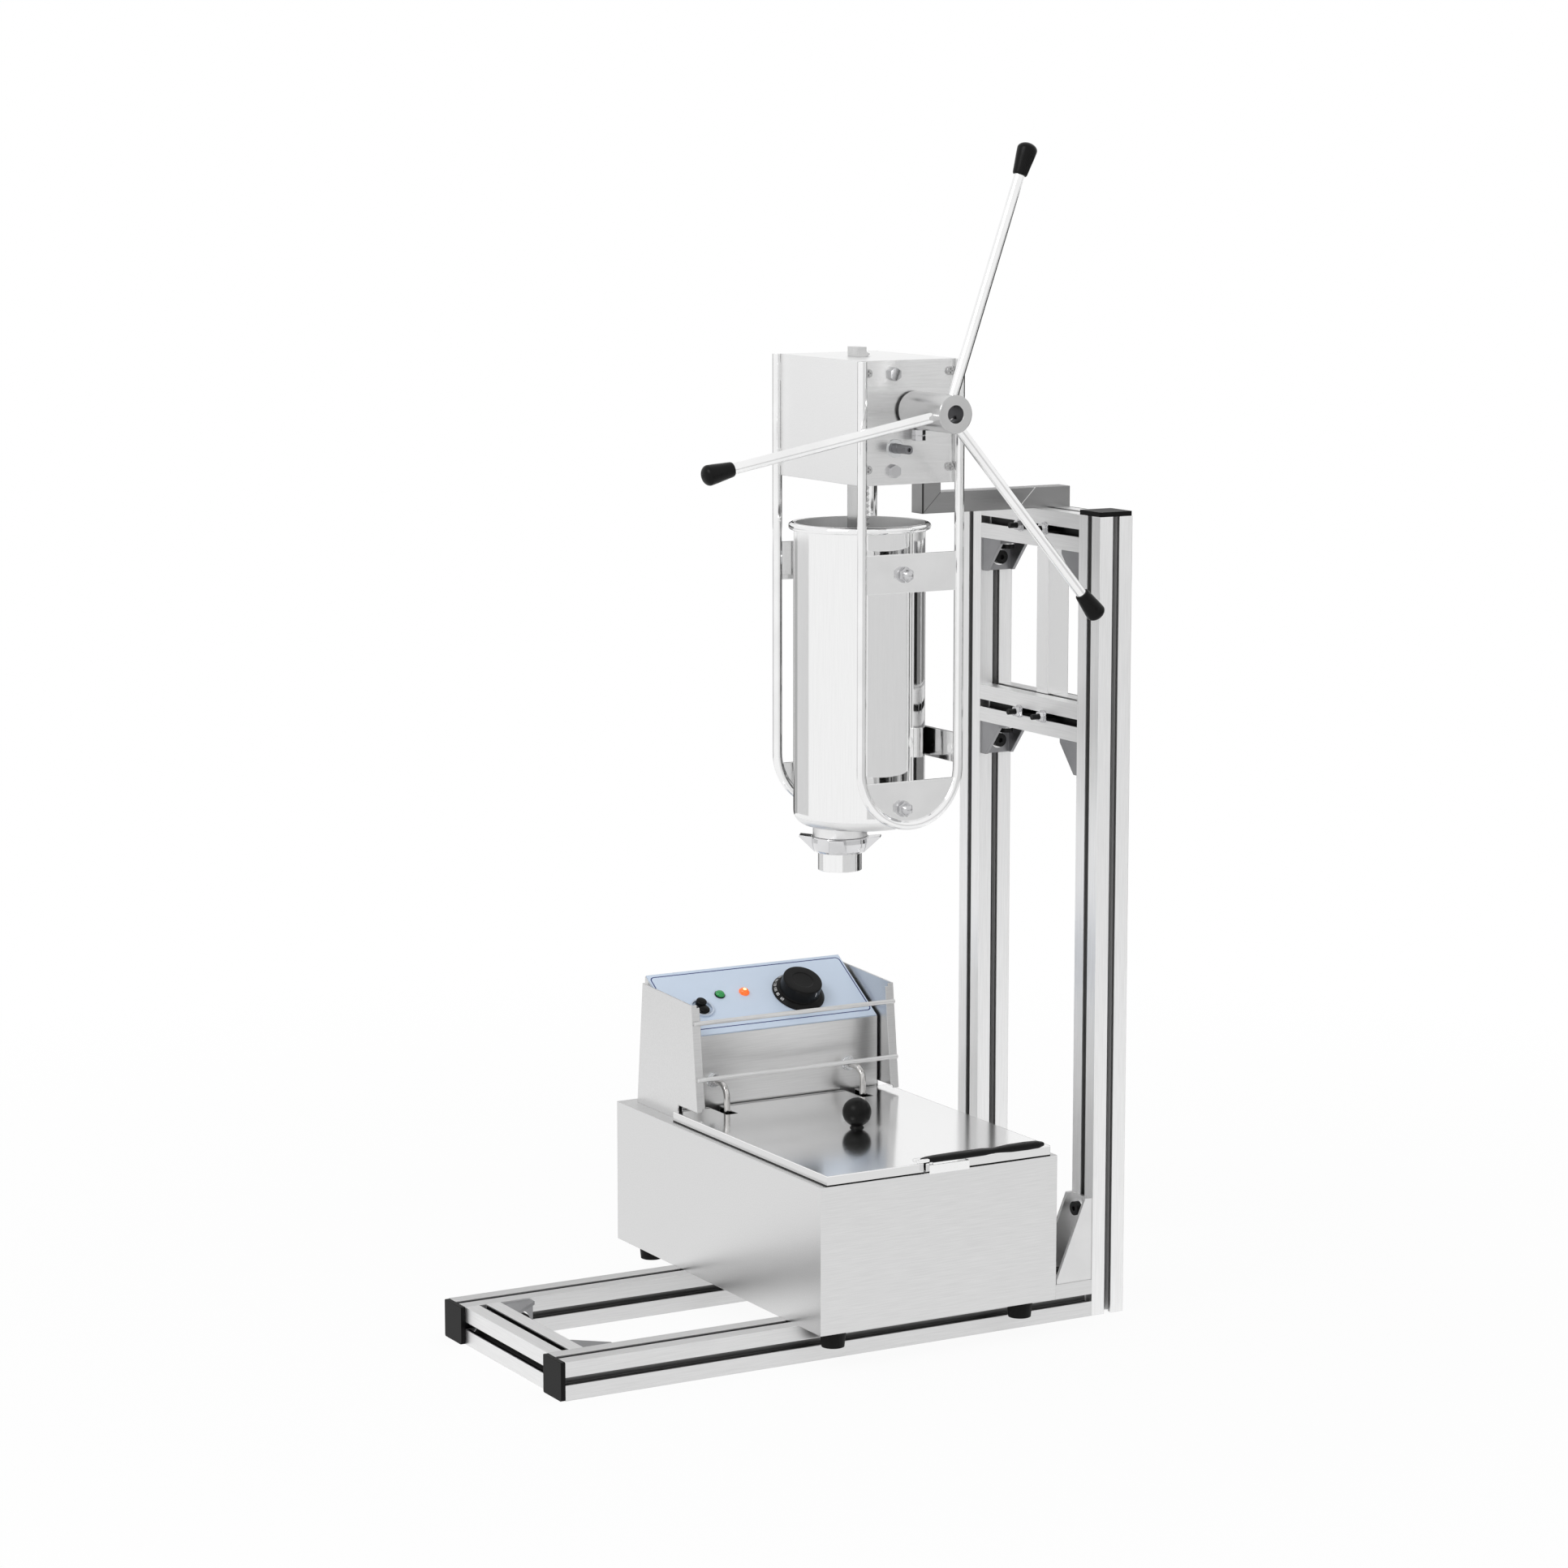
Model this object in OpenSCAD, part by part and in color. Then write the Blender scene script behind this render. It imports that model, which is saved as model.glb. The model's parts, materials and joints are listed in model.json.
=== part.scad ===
// Churro maker: a stand of slotted aluminium profile carries a hand driven
// rack press with its barrel and nozzle, above a counter-top fryer that
// rests on the two rails. Lengths are in millimetres. X runs across the
// stand, Y from its front to its uprights, Z up from the floor. Everything is
// drawn from the middle of the stand's footprint and then moved by home.

/* [Stand] */
// outer width across both rails
stand_width = 272; // [270:0.5:278]
// depth from the rails' front ends to the rear of the uprights
stand_depth = 668; // [660:1:690]
// height of the uprights without their caps
upright_height = 855; // [850:1:860]
// drop from the top of the uprights to the top of the lower cross beam
lower_beam_drop = 201; // [190:1:215]
// side of the square profile
profile = 40; // [39.5:0.1:40.5]
// opening of the slots
slot_mouth = 8.2; // [8:0.1:8.4]
// thickness of the lips beside the opening
slot_lip = 4.5; // [4:0.1:5]
// widest part of the slot behind the lips
slot_width = 20; // [19:0.1:20.5]
// depth of the slot from the face
slot_depth = 12.2; // [11.8:0.1:12.4]
// thickness of the end caps
cap_thickness = 5; // [4:0.5:6]

/* [Brackets] */
// leg of the small brackets
bracket_leg = 36; // [34:0.5:38]
// width of the small brackets
bracket_width = 36; // [34:0.5:38]
// thickness of the bracket legs
bracket_wall = 4.5; // [4:0.1:5]
// height of the brackets at the feet of the uprights
foot_bracket_height = 89; // [84:1:94]
// length of these brackets along the rails
foot_bracket_length = 44; // [42:1:48]
// width of these brackets
foot_bracket_width = 38; // [36:0.5:39]
// where the bolt sits along a short leg
leg_bolt_share = 0.6; // [0.56:0.01:0.63]
// where the bolt sits along the tall leg
tall_bolt_share = 0.84; // [0.7:0.01:0.86]
// thread of the bracket bolts
bolt_thread = 7.8; // [7.4:0.1:7.9]
// hole for a bracket bolt
bolt_hole = 8.6; // [8.2:0.1:9]
// head diameter of the bracket bolts
bolt_head = 15; // [14:0.1:16]
// washer diameter under the bracket bolts
washer = 18; // [17:0.1:19]

/* [Support arm] */
// side of the square tube
arm_tube = 22; // [20:0.5:24]
// height of the riser behind the gearbox
arm_rise = 105; // [95:1:115]
// thickness of the strap and plates behind the beams
arm_plate = 4; // [3:0.5:5]
// left clamp bolt of the arm, from the middle of the stand
arm_bolt_left = -16; // [-22:1:-15]
// right clamp bolt of the arm
arm_bolt_right = 31; // [26:1:36]
// thread of the clamp bolts
arm_bolt_thread = 6; // [5:0.1:6.4]
// length of thread that stands out in front of the beams
arm_bolt_out = 15; // [13:0.5:18]
// hexagon of the small nuts, over the corners
small_hex = 11.5; // [11:0.1:12.5]

/* [Gearbox] */
// distance from the uprights' front to the barrel's axis
press_reach = 210; // [204:1:214]
// width of the gearbox over its side plates
gearbox_width = 165; // [163:0.5:168]
// depth of the gearbox
gearbox_depth = 118; // [117:0.5:122]
// height of the gearbox
gearbox_height = 127; // [125:0.5:132]
// gap from the top of the uprights to the gearbox floor
gearbox_gap = 39; // [38:0.5:44]
// how far the gearbox reaches in front of the barrel's axis
gearbox_front = 48; // [47:0.5:49]
// thickness of the gearbox walls and side plates
gearbox_wall = 3; // [2.5:0.1:3.2]
// inset of the plate screws from the front edge
screw_inset_front = 8; // [7.8:0.1:9]
// inset of the plate screws from the rear edge
screw_inset_rear = 12; // [10:0.1:13]
// inset of the plate screws from the top edge
screw_inset_top = 12.5; // [11:0.1:14]
// inset of the plate screws from the bottom edge
screw_inset_bottom = 16.5; // [14:0.1:18]
// screw head diameter
screw_head = 9; // [8:0.1:9.6]

/* [Gears and shafts] */
// module of the teeth
gear_module = 2; // [1.98:0.01:2.02]
// teeth of the rack pinion and of the slow pinion
pinion_teeth = 10;
// teeth of the main gear
gear_teeth = 34;
// pressure angle of the teeth
tooth_angle = 25;
// play between meshing teeth, measured along the pitch line
tooth_play = 0.5; // [0.4:0.05:0.6]
// height of the main shaft above the gearbox floor
main_shaft_rise = 76; // [75:0.5:78]
// direction from the main shaft to the slow shaft
slow_angle = 241.5; // [240:0.5:243]
// diameter of the main shaft
main_shaft_d = 18.6; // [18:0.1:19]
// diameter of the slow shaft
slow_shaft_d = 9.9; // [9.5:0.1:10.2]
// how far the slow shaft stands out of the side plate
slow_shaft_out = 28; // [25:0.5:30]
// start of the main gear from the middle of the gearbox
gear_start = 25; // [24:0.5:30]
// play of a shaft in its bush, on the radius
running_play = 0.05; // [0.03:0.01:0.08]
// wall of the bushes
bush_wall = 3.5; // [3:0.1:4]

/* [Star wheel] */
// hub diameter
hub_d = 39; // [37:0.5:41]
// hub length
hub_length = 80; // [78:0.5:84]
// gap between the side plate and the hub
hub_gap = 3.5; // [3:0.1:4]
// plane of the spokes, from the hub's outer end
spoke_inset = 16; // [14:0.5:17]
// spoke diameter
spoke_d = 11; // [10:0.1:12]
// radius to the tips of the grips
spoke_reach = 286; // [270:1:295]
// angle of the first spoke from the rear, towards the top
spoke_angle = 70.6; // [50:0.1:80]
// length of the grips
grip_length = 34; // [30:0.5:40]
// grip diameter at the tip
grip_tip_d = 21; // [19:0.1:21.5]
// grip diameter at the spoke side
grip_root_d = 15; // [14:0.1:17]
// hexagon of the lock bolt, over the corners
lock_hex = 14; // [13:0.1:14.5]

/* [Ram] */
// rack width
rack_width = 20; // [19:0.1:20.5]
// rack depth from its back to the pitch line
rack_depth = 13; // [12.5:0.1:13.5]
// pitch line of the rack behind the barrel's axis
rack_line = 4; // [3.5:0.1:4.5]
// height of the rack above the gearbox lid at rest
rack_above = 10; // [8:0.5:14]
// play around the rack in its guide
rack_play = 0.3; // [0.3:0.05:0.4]
// diameter of the guide's tie rods
tie_rod = 12; // [11:0.1:12.5]
// hexagon of the tie bolts, over the corners
tie_hex = 14; // [13:0.1:14.5]
// play of the piston seal in the barrel, on the radius
seal_play = 0.3; // [0.3:0.05:0.4]
// gap under the piston at rest
piston_gap = 3.4; // [3:0.1:5]
// piston height
piston_height = 28; // [26:0.5:30]

/* [Side frames] */
// rod diameter of the side frames
rod_d = 10; // [9.5:0.1:10.5]
// front rod from the barrel's axis
rod_front = 49; // [48:0.5:50]
// rear rod from the barrel's axis
rod_rear = 67.5; // [66:0.5:68]
// height of the upper strap
strap_height = 40; // [36:0.5:44]
// centre of the upper strap below the barrel's rim
strap_drop = 46; // [44:0.5:50]
// thickness of the straps and plates
strap_thickness = 3; // [2.5:0.1:3.5]
// centre of the rods' bend above the barrel's bottom
bend_rise = 68; // [66:0.5:70]
// top of the lower plate above the barrel's bottom
plate_rise = 56; // [54:0.5:60]
// lower stud above the barrel's bottom
low_stud_rise = 28; // [27:0.5:32]
// upper stud below the barrel's rim
high_stud_drop = 47; // [44:0.5:50]
// height of the rear band
band_height = 31; // [28:0.5:34]
// bottom of the rear band above the barrel's bottom
band_rise = 70; // [68:0.5:76]
// hexagon of the cap nuts, over the corners
cap_hex = 15.6; // [15:0.1:17]

/* [Barrel] */
// barrel diameter
barrel_d = 138; // [137:0.5:139]
// barrel height
barrel_height = 318; // [314:1:322]
// gap from the barrel's rim to the gearbox floor
barrel_gap = 45; // [44:0.5:48]
// barrel wall
barrel_wall = 1.6; // [1.4:0.1:1.8]
// outer radius of the barrel's lower edge
barrel_corner = 15; // [13:0.5:16]
// thickness of the rolled rim
rim_roll = 7.4; // [6.5:0.1:8]
// how far the rim stands out
rim_out = 5.5; // [5:0.1:6]
// outlet axis in front of the barrel's axis
outlet_shift = 23; // [20:0.5:25]
// neck diameter of the outlet
neck_d = 57; // [55:0.5:58]
// neck height above the wing nut
neck_height = 11; // [10:0.5:13]
// thread diameter of the outlet
thread_d = 52; // [51:0.5:53]
// thread length of the outlet
thread_length = 10; // [9.5:0.5:10.5]
// bore of the outlet
outlet_bore = 42; // [40:0.5:43]

/* [Nozzle] */
// nozzle diameter
nozzle_d = 46; // [45:0.5:47]
// visible length of the nozzle under the wing nut
nozzle_length = 19; // [16:0.5:22]
// outer diameter of the star opening
star_d = 16; // [14:0.5:18]
// points of the star
star_points = 8;
// wing nut diameter
nut_d = 61; // [60:0.5:63]
// wing nut height
nut_height = 17; // [16.5:0.5:18]
// half span over the wings
wing_reach = 43; // [41:0.5:45]
// width of a wing at its tip
wing_tip = 15; // [13:0.5:17]
// direction of the first wing from the right
wing_angle = 54.5; // [45:0.5:65]

/* [Fryer] */
// length of the fryer across the stand
fryer_length = 448; // [444:1:452]
// depth of the fryer
fryer_depth = 285; // [282:1:288]
// height of the fryer's case
fryer_height = 155; // [150:1:160]
// right end of the fryer from the middle of the stand
fryer_right = 182; // [180:0.5:186]
// gap from the fryer to the uprights
fryer_gap = 76; // [74:0.5:80]
// sheet of the fryer
sheet = 1.2; // [1:0.1:1.4]
// height of the feet
foot_height = 20; // [18:0.5:22]
// foot diameter at the top
foot_top_d = 28; // [26:0.5:30]
// foot diameter at the bottom
foot_bottom_d = 24; // [22:0.5:25]
// height of the lid's skirt
lid_height = 11; // [10:0.5:12]
// lid's left end from the fryer's right end
lid_length = 331; // [328:1:332]
// margin of the case in front of and behind the lid
lid_margin_y = 8; // [7:0.5:10]
// width of the notch in the lid
lid_notch = 50; // [46:1:54]
// depth of the notch in the lid
lid_notch_depth = 10; // [8:0.5:12]
// length of the slots for the element tubes
lid_slot_length = 42; // [41:0.5:44]
// margin from the lid's edge to the tank
tank_margin = 18; // [16:0.5:22]
// height of the tank's bottom above the case's bottom
tank_floor = 20; // [16:0.5:24]
// corner radius of the tank
tank_corner = 22; // [18:1:26]
// diameter of the ball knob
ball_d = 31; // [29:0.5:33]
// height of the ball's centre above the lid
ball_rise = 17; // [16:0.5:18]
// ball knob from the middle of the stand
ball_x = 12; // [8:1:16]

/* [Basket] */
// height of the basket
basket_height = 95; // [90:1:100]
// mesh wires along the basket
mesh_long = 5;
// mesh wires across the basket
mesh_cross = 7;
// length of the handle's grip
handle_length = 151; // [145:1:155]
// handle width
handle_width = 14; // [12:0.5:15]
// handle thickness
handle_thickness = 8; // [7:0.1:9]
// pivot of the handle from the notch's front corner
pivot_inset = 5; // [4:0.5:8]

/* [Heating element] */
// tube of the heating element
element_d = 7; // [6:0.1:7.5]
// bend radius of the element's tubes
element_bend = 14; // [12:0.5:15]
// element outlets above the case's top
element_rise = 40; // [38:0.5:44]
// near outlet from the head's near end
element_near = 37; // [34:0.5:42]
// far outlet from the head's far end
element_far = 37; // [34:0.5:42]
// hexagon of the element nuts, over the corners
element_hex = 15; // [14:0.1:16]

/* [Control head] */
// near face of the head behind the fryer's front
head_near = 21; // [20:0.5:24]
// length of the head from front to rear of the stand
head_length = 244; // [240:1:248]
// gap between the lid and the head
head_gap = 2; // [1:0.5:4]
// depth of the head at its foot
head_foot = 98; // [96:0.5:100]
// depth of the head at the top of the panel
head_top = 86; // [84:0.5:88]
// height of the panel's lower edge above the case
panel_low = 89; // [87:0.5:92]
// height of the panel's upper edge above the case
panel_high = 143; // [141:0.5:146]
// gap under the head's right edge
head_lift = 13; // [12:0.5:14]
// thickness of the panel
panel_thickness = 1.4; // [1:0.1:1.8]
// gap from the head to the guard plates
guard_gap = 2.5; // [2:0.1:3]
// width of the turned edges on the guard plates
guard_flange = 10; // [8:0.5:12]
// guard rods
guard_rod = 5; // [4.5:0.1:5.5]
// heights of the guard plates' corners above the case: rear top, front top
guard_rear_top = 136; // [134:0.5:138]
// front top corner above the case
guard_front_top = 131; // [128:0.5:134]
// front bottom corner above the case
guard_front_bottom = 16; // [15.5:0.1:20]
// upper rod below the guard's top corner
guard_rod_high = 20; // [18:0.5:24]
// lower rod below the guard's top corner
guard_rod_low = 81; // [78:0.5:84]
// dial diameter
dial_d = 60; // [56:0.5:62]
// knob diameter
knob_d = 46; // [44:0.5:48]
// knob height over the dial
knob_height = 15; // [13:0.5:18]
// knob from the panel's middle, towards the rear
knob_along = 44; // [42:0.5:46]
// knob below the panel's middle line
knob_down = 3; // [2:0.5:5]
// lamp diameter
lamp_d = 12; // [11:0.5:13]
// green lamp from the panel's middle
lamp_green = -49.5; // [-52:0.5:-48]
// orange lamp from the panel's middle
lamp_orange = -19; // [-22:0.5:-17]
// lamps above the panel's middle line
lamp_up = 8; // [6:0.5:10]
// switch from the panel's middle
switch_along = -80; // [-84:0.5:-78]
// switch below the panel's middle line
switch_down = 10; // [8:0.5:12]
// switch diameter
switch_d = 27; // [26:0.5:29]
// rocker lobe diameter
lobe_d = 11.5; // [10.5:0.1:11.8]
// cable gland diameter
gland_d = 14; // [12:0.5:16]

/* [Hidden] */
$fn = 48;
// small sizes
cap_corner = 2;
cap_peg = 8;
bolt_socket = 5.8;
bolt_socket_depth = 3;
slot_shoulder = 3;
slot_floor = 10.5;
screw_thread = 4;
screw_head_height = 2.4;
cross_slot = 1.3;
corner_block = 5;
corner_block_depth = 16;
slow_end_hole = 4;
slow_flat = 8;
slow_flat_width = 8.4;
seat_d = 9;
seat_length = 18;
bush_flange = 1.4;
bush_flange_thickness = 2;
grip_bore_depth = 26;
guide_back = 14;
guide_cheek = 9;
seal_height = 6;
seal_depth = 4;
rack_stud = 10;
piston_nut_height = 8;
nozzle_flange = 2;
gasket_thickness = 1.5;
nut_lip = 2.5;
star_root_d = 10;
tank_flange = 10;
mesh_wire = 2;
handle_stub = 6;
pivot_d = 4;
element_lift = 9;
element_hex_height = 4;
small_washer = 14;
lug_inset = 10;
cap_hex_height = 6.5;
arm_plate_edge = 14;
slot_nut_length = 16;
slot_nut_width = 13;
slot_nut_height = 5;
screw_length = 12;
bolt_head_height = 5;
small_hex_height = 5.2;
tie_hex_height = 5.3;
lock_hex_height = 5.6;
band_play = 0.2;
spacer_d = 14;
lug_height = 18;
piston_hex = 19.6;
gear_width = 10;
lid_margin_x = 1;
handle_gap = 1;
pivot_out = 5;
element_row = 28;
guard_sheet = 1.5;
switch_height = 2.5;
lamp_height = 5;
gland_length = 12;
foot_inset_x = 25;
foot_inset_y = 29;
tie_inset = 14;
lock_inset = 8.5;
dial_height = 5;
rim_wire = 4;
basket_gap = 16;
guard_reach_top = 27;
guard_reach_bottom = 40;
washer_thickness = 1.6;
arm_wall = 2;
nozzle_wall = 2;
star_plate = 3;
core_bore = 6.8;
bracket_cheek = 3.5;
// derived values
notch_shift = 5;
cut = 1; // overshoot of cutting bodies
rim = 0.6; // small edge break
fit = 0.1; // slip fit between pieces that stay together
air = 0.3; // smallest gap between pieces that move
rail_x = stand_width / 2 - profile / 2;
beam_length = stand_width - 2 * profile;
rail_length = stand_depth - profile;
front_y = -stand_depth / 2;
rear_y = stand_depth / 2;
upright_y = rear_y - profile / 2;
upper_beam_z = upright_height - profile / 2;
lower_beam_z = upright_height - lower_beam_drop - profile / 2;
bolt_seat = bracket_wall + washer_thickness;
nut_side = slot_lip + slot_nut_height;
gearbox_bottom = upright_height + gearbox_gap;
gearbox_top = gearbox_bottom + gearbox_height;
press_y = rear_y - profile - press_reach;
gearbox_y0 = press_y - gearbox_front;
gearbox_y1 = gearbox_y0 + gearbox_depth;
gearbox_x = gearbox_width / 2;
inner_x = gearbox_x - gearbox_wall;
frame_x = gearbox_x + rod_d / 2 + fit;
pitch_r = pinion_teeth * gear_module / 2;
gear_r = gear_teeth * gear_module / 2;
addendum_share = 0.8;
dedendum_share = 1.15;
rack_y = press_y + rack_line;
rack_y0 = rack_y - rack_depth;
tooth_pitch = PI * gear_module;
shaft_y = rack_y + pitch_r;
shaft_z = gearbox_bottom + main_shaft_rise;
shaft_r = main_shaft_d / 2;
slow_r = slow_shaft_d / 2;
slow_end = gearbox_x + slow_shaft_out;
slow_y = shaft_y + (pitch_r + gear_r) * cos(slow_angle);
slow_z = shaft_z + (pitch_r + gear_r) * sin(slow_angle);
pinion_half = rack_width / 2;
neck_half = pinion_half + rack_play + fit;
guide_in = pinion_half + rack_play;
guide_out = guide_in + guide_cheek;
guide_z0 = gearbox_bottom + 2 * gearbox_wall;
guide_z1 = gearbox_top - 2 * gearbox_wall;
guide_y1 = shaft_y - shaft_r - 2 * air;
tie_y = rack_y0 - fit;
slow_pinion_width = gear_width + 2 * gearbox_wall;
hub_x0 = gearbox_x + hub_gap;
hub_x1 = hub_x0 + hub_length;
spoke_x = hub_x1 - spoke_inset;
shaft_left = gearbox_x + 4 * gearbox_wall;
shaft_right = spoke_x - spoke_d;
barrel_top = gearbox_bottom - barrel_gap;
barrel_bottom = barrel_top - barrel_height;
barrel_r = barrel_d / 2;
bore_r = barrel_r - barrel_wall;
piston_z = barrel_bottom + barrel_wall + piston_gap;
piston_top = piston_z + piston_height;
piston_r = bore_r - 2 * rack_play - running_play;
seal_r = bore_r - seal_play;
seal_z = piston_top - seal_height - 2 * gearbox_wall;
rack_top = gearbox_top + rack_above;
frame_y0 = press_y - rod_front;
frame_y1 = press_y + rod_rear;
bend_y = (frame_y0 + frame_y1) / 2;
bend_r = (frame_y1 - frame_y0) / 2;
bend_z = barrel_bottom + bend_rise;
strap_z = barrel_top - strap_drop;
stud_d = bolt_thread;
stud_zs = [barrel_bottom + low_stud_rise, barrel_top - high_stud_drop];
band_z = barrel_bottom + band_rise;
band_y = press_y + barrel_r + band_play;
outlet_y = press_y - outlet_shift;
neck_bottom = barrel_bottom - neck_height;
thread_bottom = neck_bottom - thread_length;
nut_bottom = neck_bottom - nut_height;
flange_top = thread_bottom - gasket_thickness;
nozzle_bottom = nut_bottom - nozzle_length;
flange_d = thread_d - 2 * air;
case_x1 = fryer_right;
case_x0 = case_x1 - fryer_length;
case_y1 = rear_y - profile - fryer_gap;
case_y0 = case_y1 - fryer_depth;
case_z0 = profile;
case_z1 = case_z0 + fryer_height;
foot_xs = [case_x0 + foot_inset_x, case_x1 - foot_inset_x];
foot_ys = [case_y0 + foot_inset_y, case_y1 - foot_inset_y];
lid_x1 = case_x1 - lid_margin_x;
lid_x0 = lid_x1 - lid_length;
lid_y0 = case_y0 + lid_margin_y;
lid_y1 = case_y1 - lid_margin_y;
lid_z0 = case_z1;
lid_z1 = lid_z0 + lid_height;
notch_y0 = (lid_y0 + lid_y1) / 2 - lid_notch / 2 + notch_shift;
notch_y1 = notch_y0 + lid_notch;
tank_x0 = lid_x0 + tank_margin;
tank_x1 = lid_x1 - tank_margin;
tank_y0 = lid_y0 + tank_margin;
tank_y1 = lid_y1 - tank_margin;
tank_z0 = case_z0 + tank_floor;
ball_y = (lid_y0 + lid_y1) / 2;
basket_x0 = tank_x0 + basket_gap + element_bend;
basket_x1 = tank_x1 - basket_gap;
basket_y0 = tank_y0 + basket_gap;
basket_y1 = tank_y1 - basket_gap;
basket_z1 = case_z1 - rim_wire;
basket_z0 = basket_z1 - basket_height;
pivot_x = case_x1 + pivot_out;
pivot_y = notch_y0 + pivot_inset;
handle_z0 = lid_z1 + handle_gap;
handle_z1 = handle_z0 + handle_thickness;
bridge_z = case_z1 + sheet + rim_wire / 2;
head_x1 = lid_x0 - head_gap;
head_x0 = head_x1 - head_foot;
head_y0 = case_y0 + head_near;
head_y1 = head_y0 + head_length;
head_z0 = case_z1;
panel_x0 = head_x1 - head_top;
panel_z0 = case_z1 + panel_low;
panel_z1 = case_z1 + panel_high;
panel_tilt = atan2(panel_z1 - panel_z0, head_top);
panel_mid = [(head_x1 + panel_x0) / 2, (head_y0 + head_y1) / 2,
             (panel_z0 + panel_z1) / 2];
panel_half = norm([head_top, panel_z1 - panel_z0]) / 2;
guard_y0 = head_y0 - guard_gap - guard_sheet;
guard_y1 = head_y1 + guard_gap + guard_sheet;
guard_top = [head_x1 + guard_reach_top, case_z1 + guard_front_top];
guard_low = [head_x1 + guard_reach_bottom, case_z1 + guard_front_bottom];
guard_lean = atan2(guard_low[0] - guard_top[0], guard_top[1] - guard_low[1]);
guard_edge = norm(guard_top - guard_low);
element_y0 = head_y0 + element_near;
element_y1 = head_y1 - element_far;
element_z = case_z1 + element_rise;
element_r = element_d / 2;
element_down = head_x1 + 2 * element_bend + element_r;
element_low = tank_z0 + sheet + element_lift;
element_end = tank_x1 - 2 * element_bend;

// moves the middle of the stand's footprint to its place in the part's frame,
// whose origin is the middle of the whole part's outline on the floor
home = [-(case_x0 + pivot_x + handle_width / 2) / 2,
        -(front_y - cap_thickness + rear_y + arm_plate + small_hex_height) / 2, 0];

// helpers

// lays a flat outline (first value along Y, second along Z) and draws it along X
module across(x0, x1) translate([x0, 0, 0]) rotate([90, 0, 90])
    linear_extrude(x1 - x0) children();

// lays a flat outline (first value along X, second along Z) and draws it along Y
module deep(y0, y1) translate([0, y1, 0]) rotate([90, 0, 0])
    linear_extrude(y1 - y0) children();

// box between two corners
module box(a, b) translate(a) cube(b - a);

// rod along X, Y or Z
module rod_x(x0, x1, y, z, r, n = $fn) translate([x0, y, z]) rotate([0, 90, 0])
    cylinder(h = x1 - x0, r = r, $fn = n);
module rod_y(y0, y1, x, z, r, n = $fn) translate([x, y0, z]) rotate([-90, 0, 0])
    cylinder(h = y1 - y0, r = r, $fn = n);
module rod_z(z0, z1, x, y, r, n = $fn) translate([x, y, z0])
    cylinder(h = z1 - z0, r = r, $fn = n);

// ring along Z
module ring_z(z0, z1, x, y, r_out, r_in) difference() {
    rod_z(z0, z1, x, y, r_out);
    rod_z(z0 - cut, z1 + cut, x, y, r_in);
}

// flat outline with round corners
module round_rect(x0, x1, y0, y1, r) {
    translate([x0 + r, y0]) square([x1 - x0 - 2 * r, y1 - y0]);
    translate([x0, y0 + r]) square([x1 - x0, y1 - y0 - 2 * r]);
    for (x = [x0 + r, x1 - r], y = [y0 + r, y1 - r]) translate([x, y]) circle(r);
}

// upright slab with round corners
module round_slab(x0, x1, y0, y1, z0, z1, r) translate([0, 0, z0])
    linear_extrude(z1 - z0) round_rect(x0, x1, y0, y1, r);

// stand

half = profile / 2;
slot_points = concat(
    [[half + cut, slot_mouth / 2], [half - slot_lip, slot_mouth / 2],
     [half - slot_lip, slot_width / 2],
     [half - slot_lip - slot_shoulder, slot_width / 2],
     [half - slot_depth, slot_floor / 2]],
    [[half - slot_depth, -slot_floor / 2],
     [half - slot_lip - slot_shoulder, -slot_width / 2],
     [half - slot_lip, -slot_width / 2], [half - slot_lip, -slot_mouth / 2],
     [half + cut, -slot_mouth / 2]]);

module section() difference() {
    square(profile, center = true);
    for (a = [0:90:270]) rotate(a) polygon(slot_points);
    circle(core_bore / 2);
}

module bar(length) linear_extrude(length) section();

module rail(side) translate([side * rail_x, front_y, half]) rotate([-90, 0, 0])
    bar(rail_length);

module beam(y, z) translate([-beam_length / 2, y, z]) rotate([90, 0, 90])
    bar(beam_length);

module upright(side) translate([side * rail_x, upright_y, 0]) bar(upright_height);

module rail_right() translate(home) color("silver") rail(1);
module rail_left() translate(home) color("silver") rail(-1);
module front_beam() translate(home) color("silver") beam(front_y + half, half);
module upright_right() translate(home) color("silver") upright(1);
module upright_left() translate(home) color("silver") upright(-1);

// cross beam with the two clamp bolt holes
module clamp_beam(z) difference() {
    beam(upright_y, z);
    for (x = [arm_bolt_left, arm_bolt_right])
        rod_y(upright_y - half - cut, rear_y + cut, x, z, arm_bolt_thread / 2 + air);
}

module upper_cross_beam() translate(home) color("silver") clamp_beam(upper_beam_z);
module lower_cross_beam() translate(home) color("silver") clamp_beam(lower_beam_z);

// cap lying on top of a profile that runs along Z and ends at zero
module end_cap() {
    round_slab(-half, half, -half, half, 0, cap_thickness, cap_corner);
    rod_z(-cap_peg, 0, 0, 0, core_bore / 2 - fit);
}

module end_caps() translate(home) color("black") for (side = [-1, 1]) {
    translate([side * rail_x, front_y, half]) rotate([90, 0, 0]) end_cap();
    translate([side * rail_x, upright_y, upright_height]) end_cap();
}

// brackets: corner at the origin, legs along +X and +Z

module bracket(leg, tall, width, share_a, share_b) difference() {
    union() {
        box([0, -width / 2, 0], [leg, width / 2, bracket_wall]);
        box([0, -width / 2, 0], [bracket_wall, width / 2, tall]);
        for (y = [-width / 2, width / 2 - bracket_cheek]) deep(y, y + bracket_cheek)
            polygon([[0, 0], [leg, 0], [leg, bracket_wall],
                     [2 * bracket_wall, tall], [0, tall]]);
    }
    rod_z(-cut, bracket_wall + cut, leg * share_a, 0, bolt_hole / 2);
    rod_x(-cut, bracket_wall + cut, 0, tall * share_b, bolt_hole / 2);
}

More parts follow.
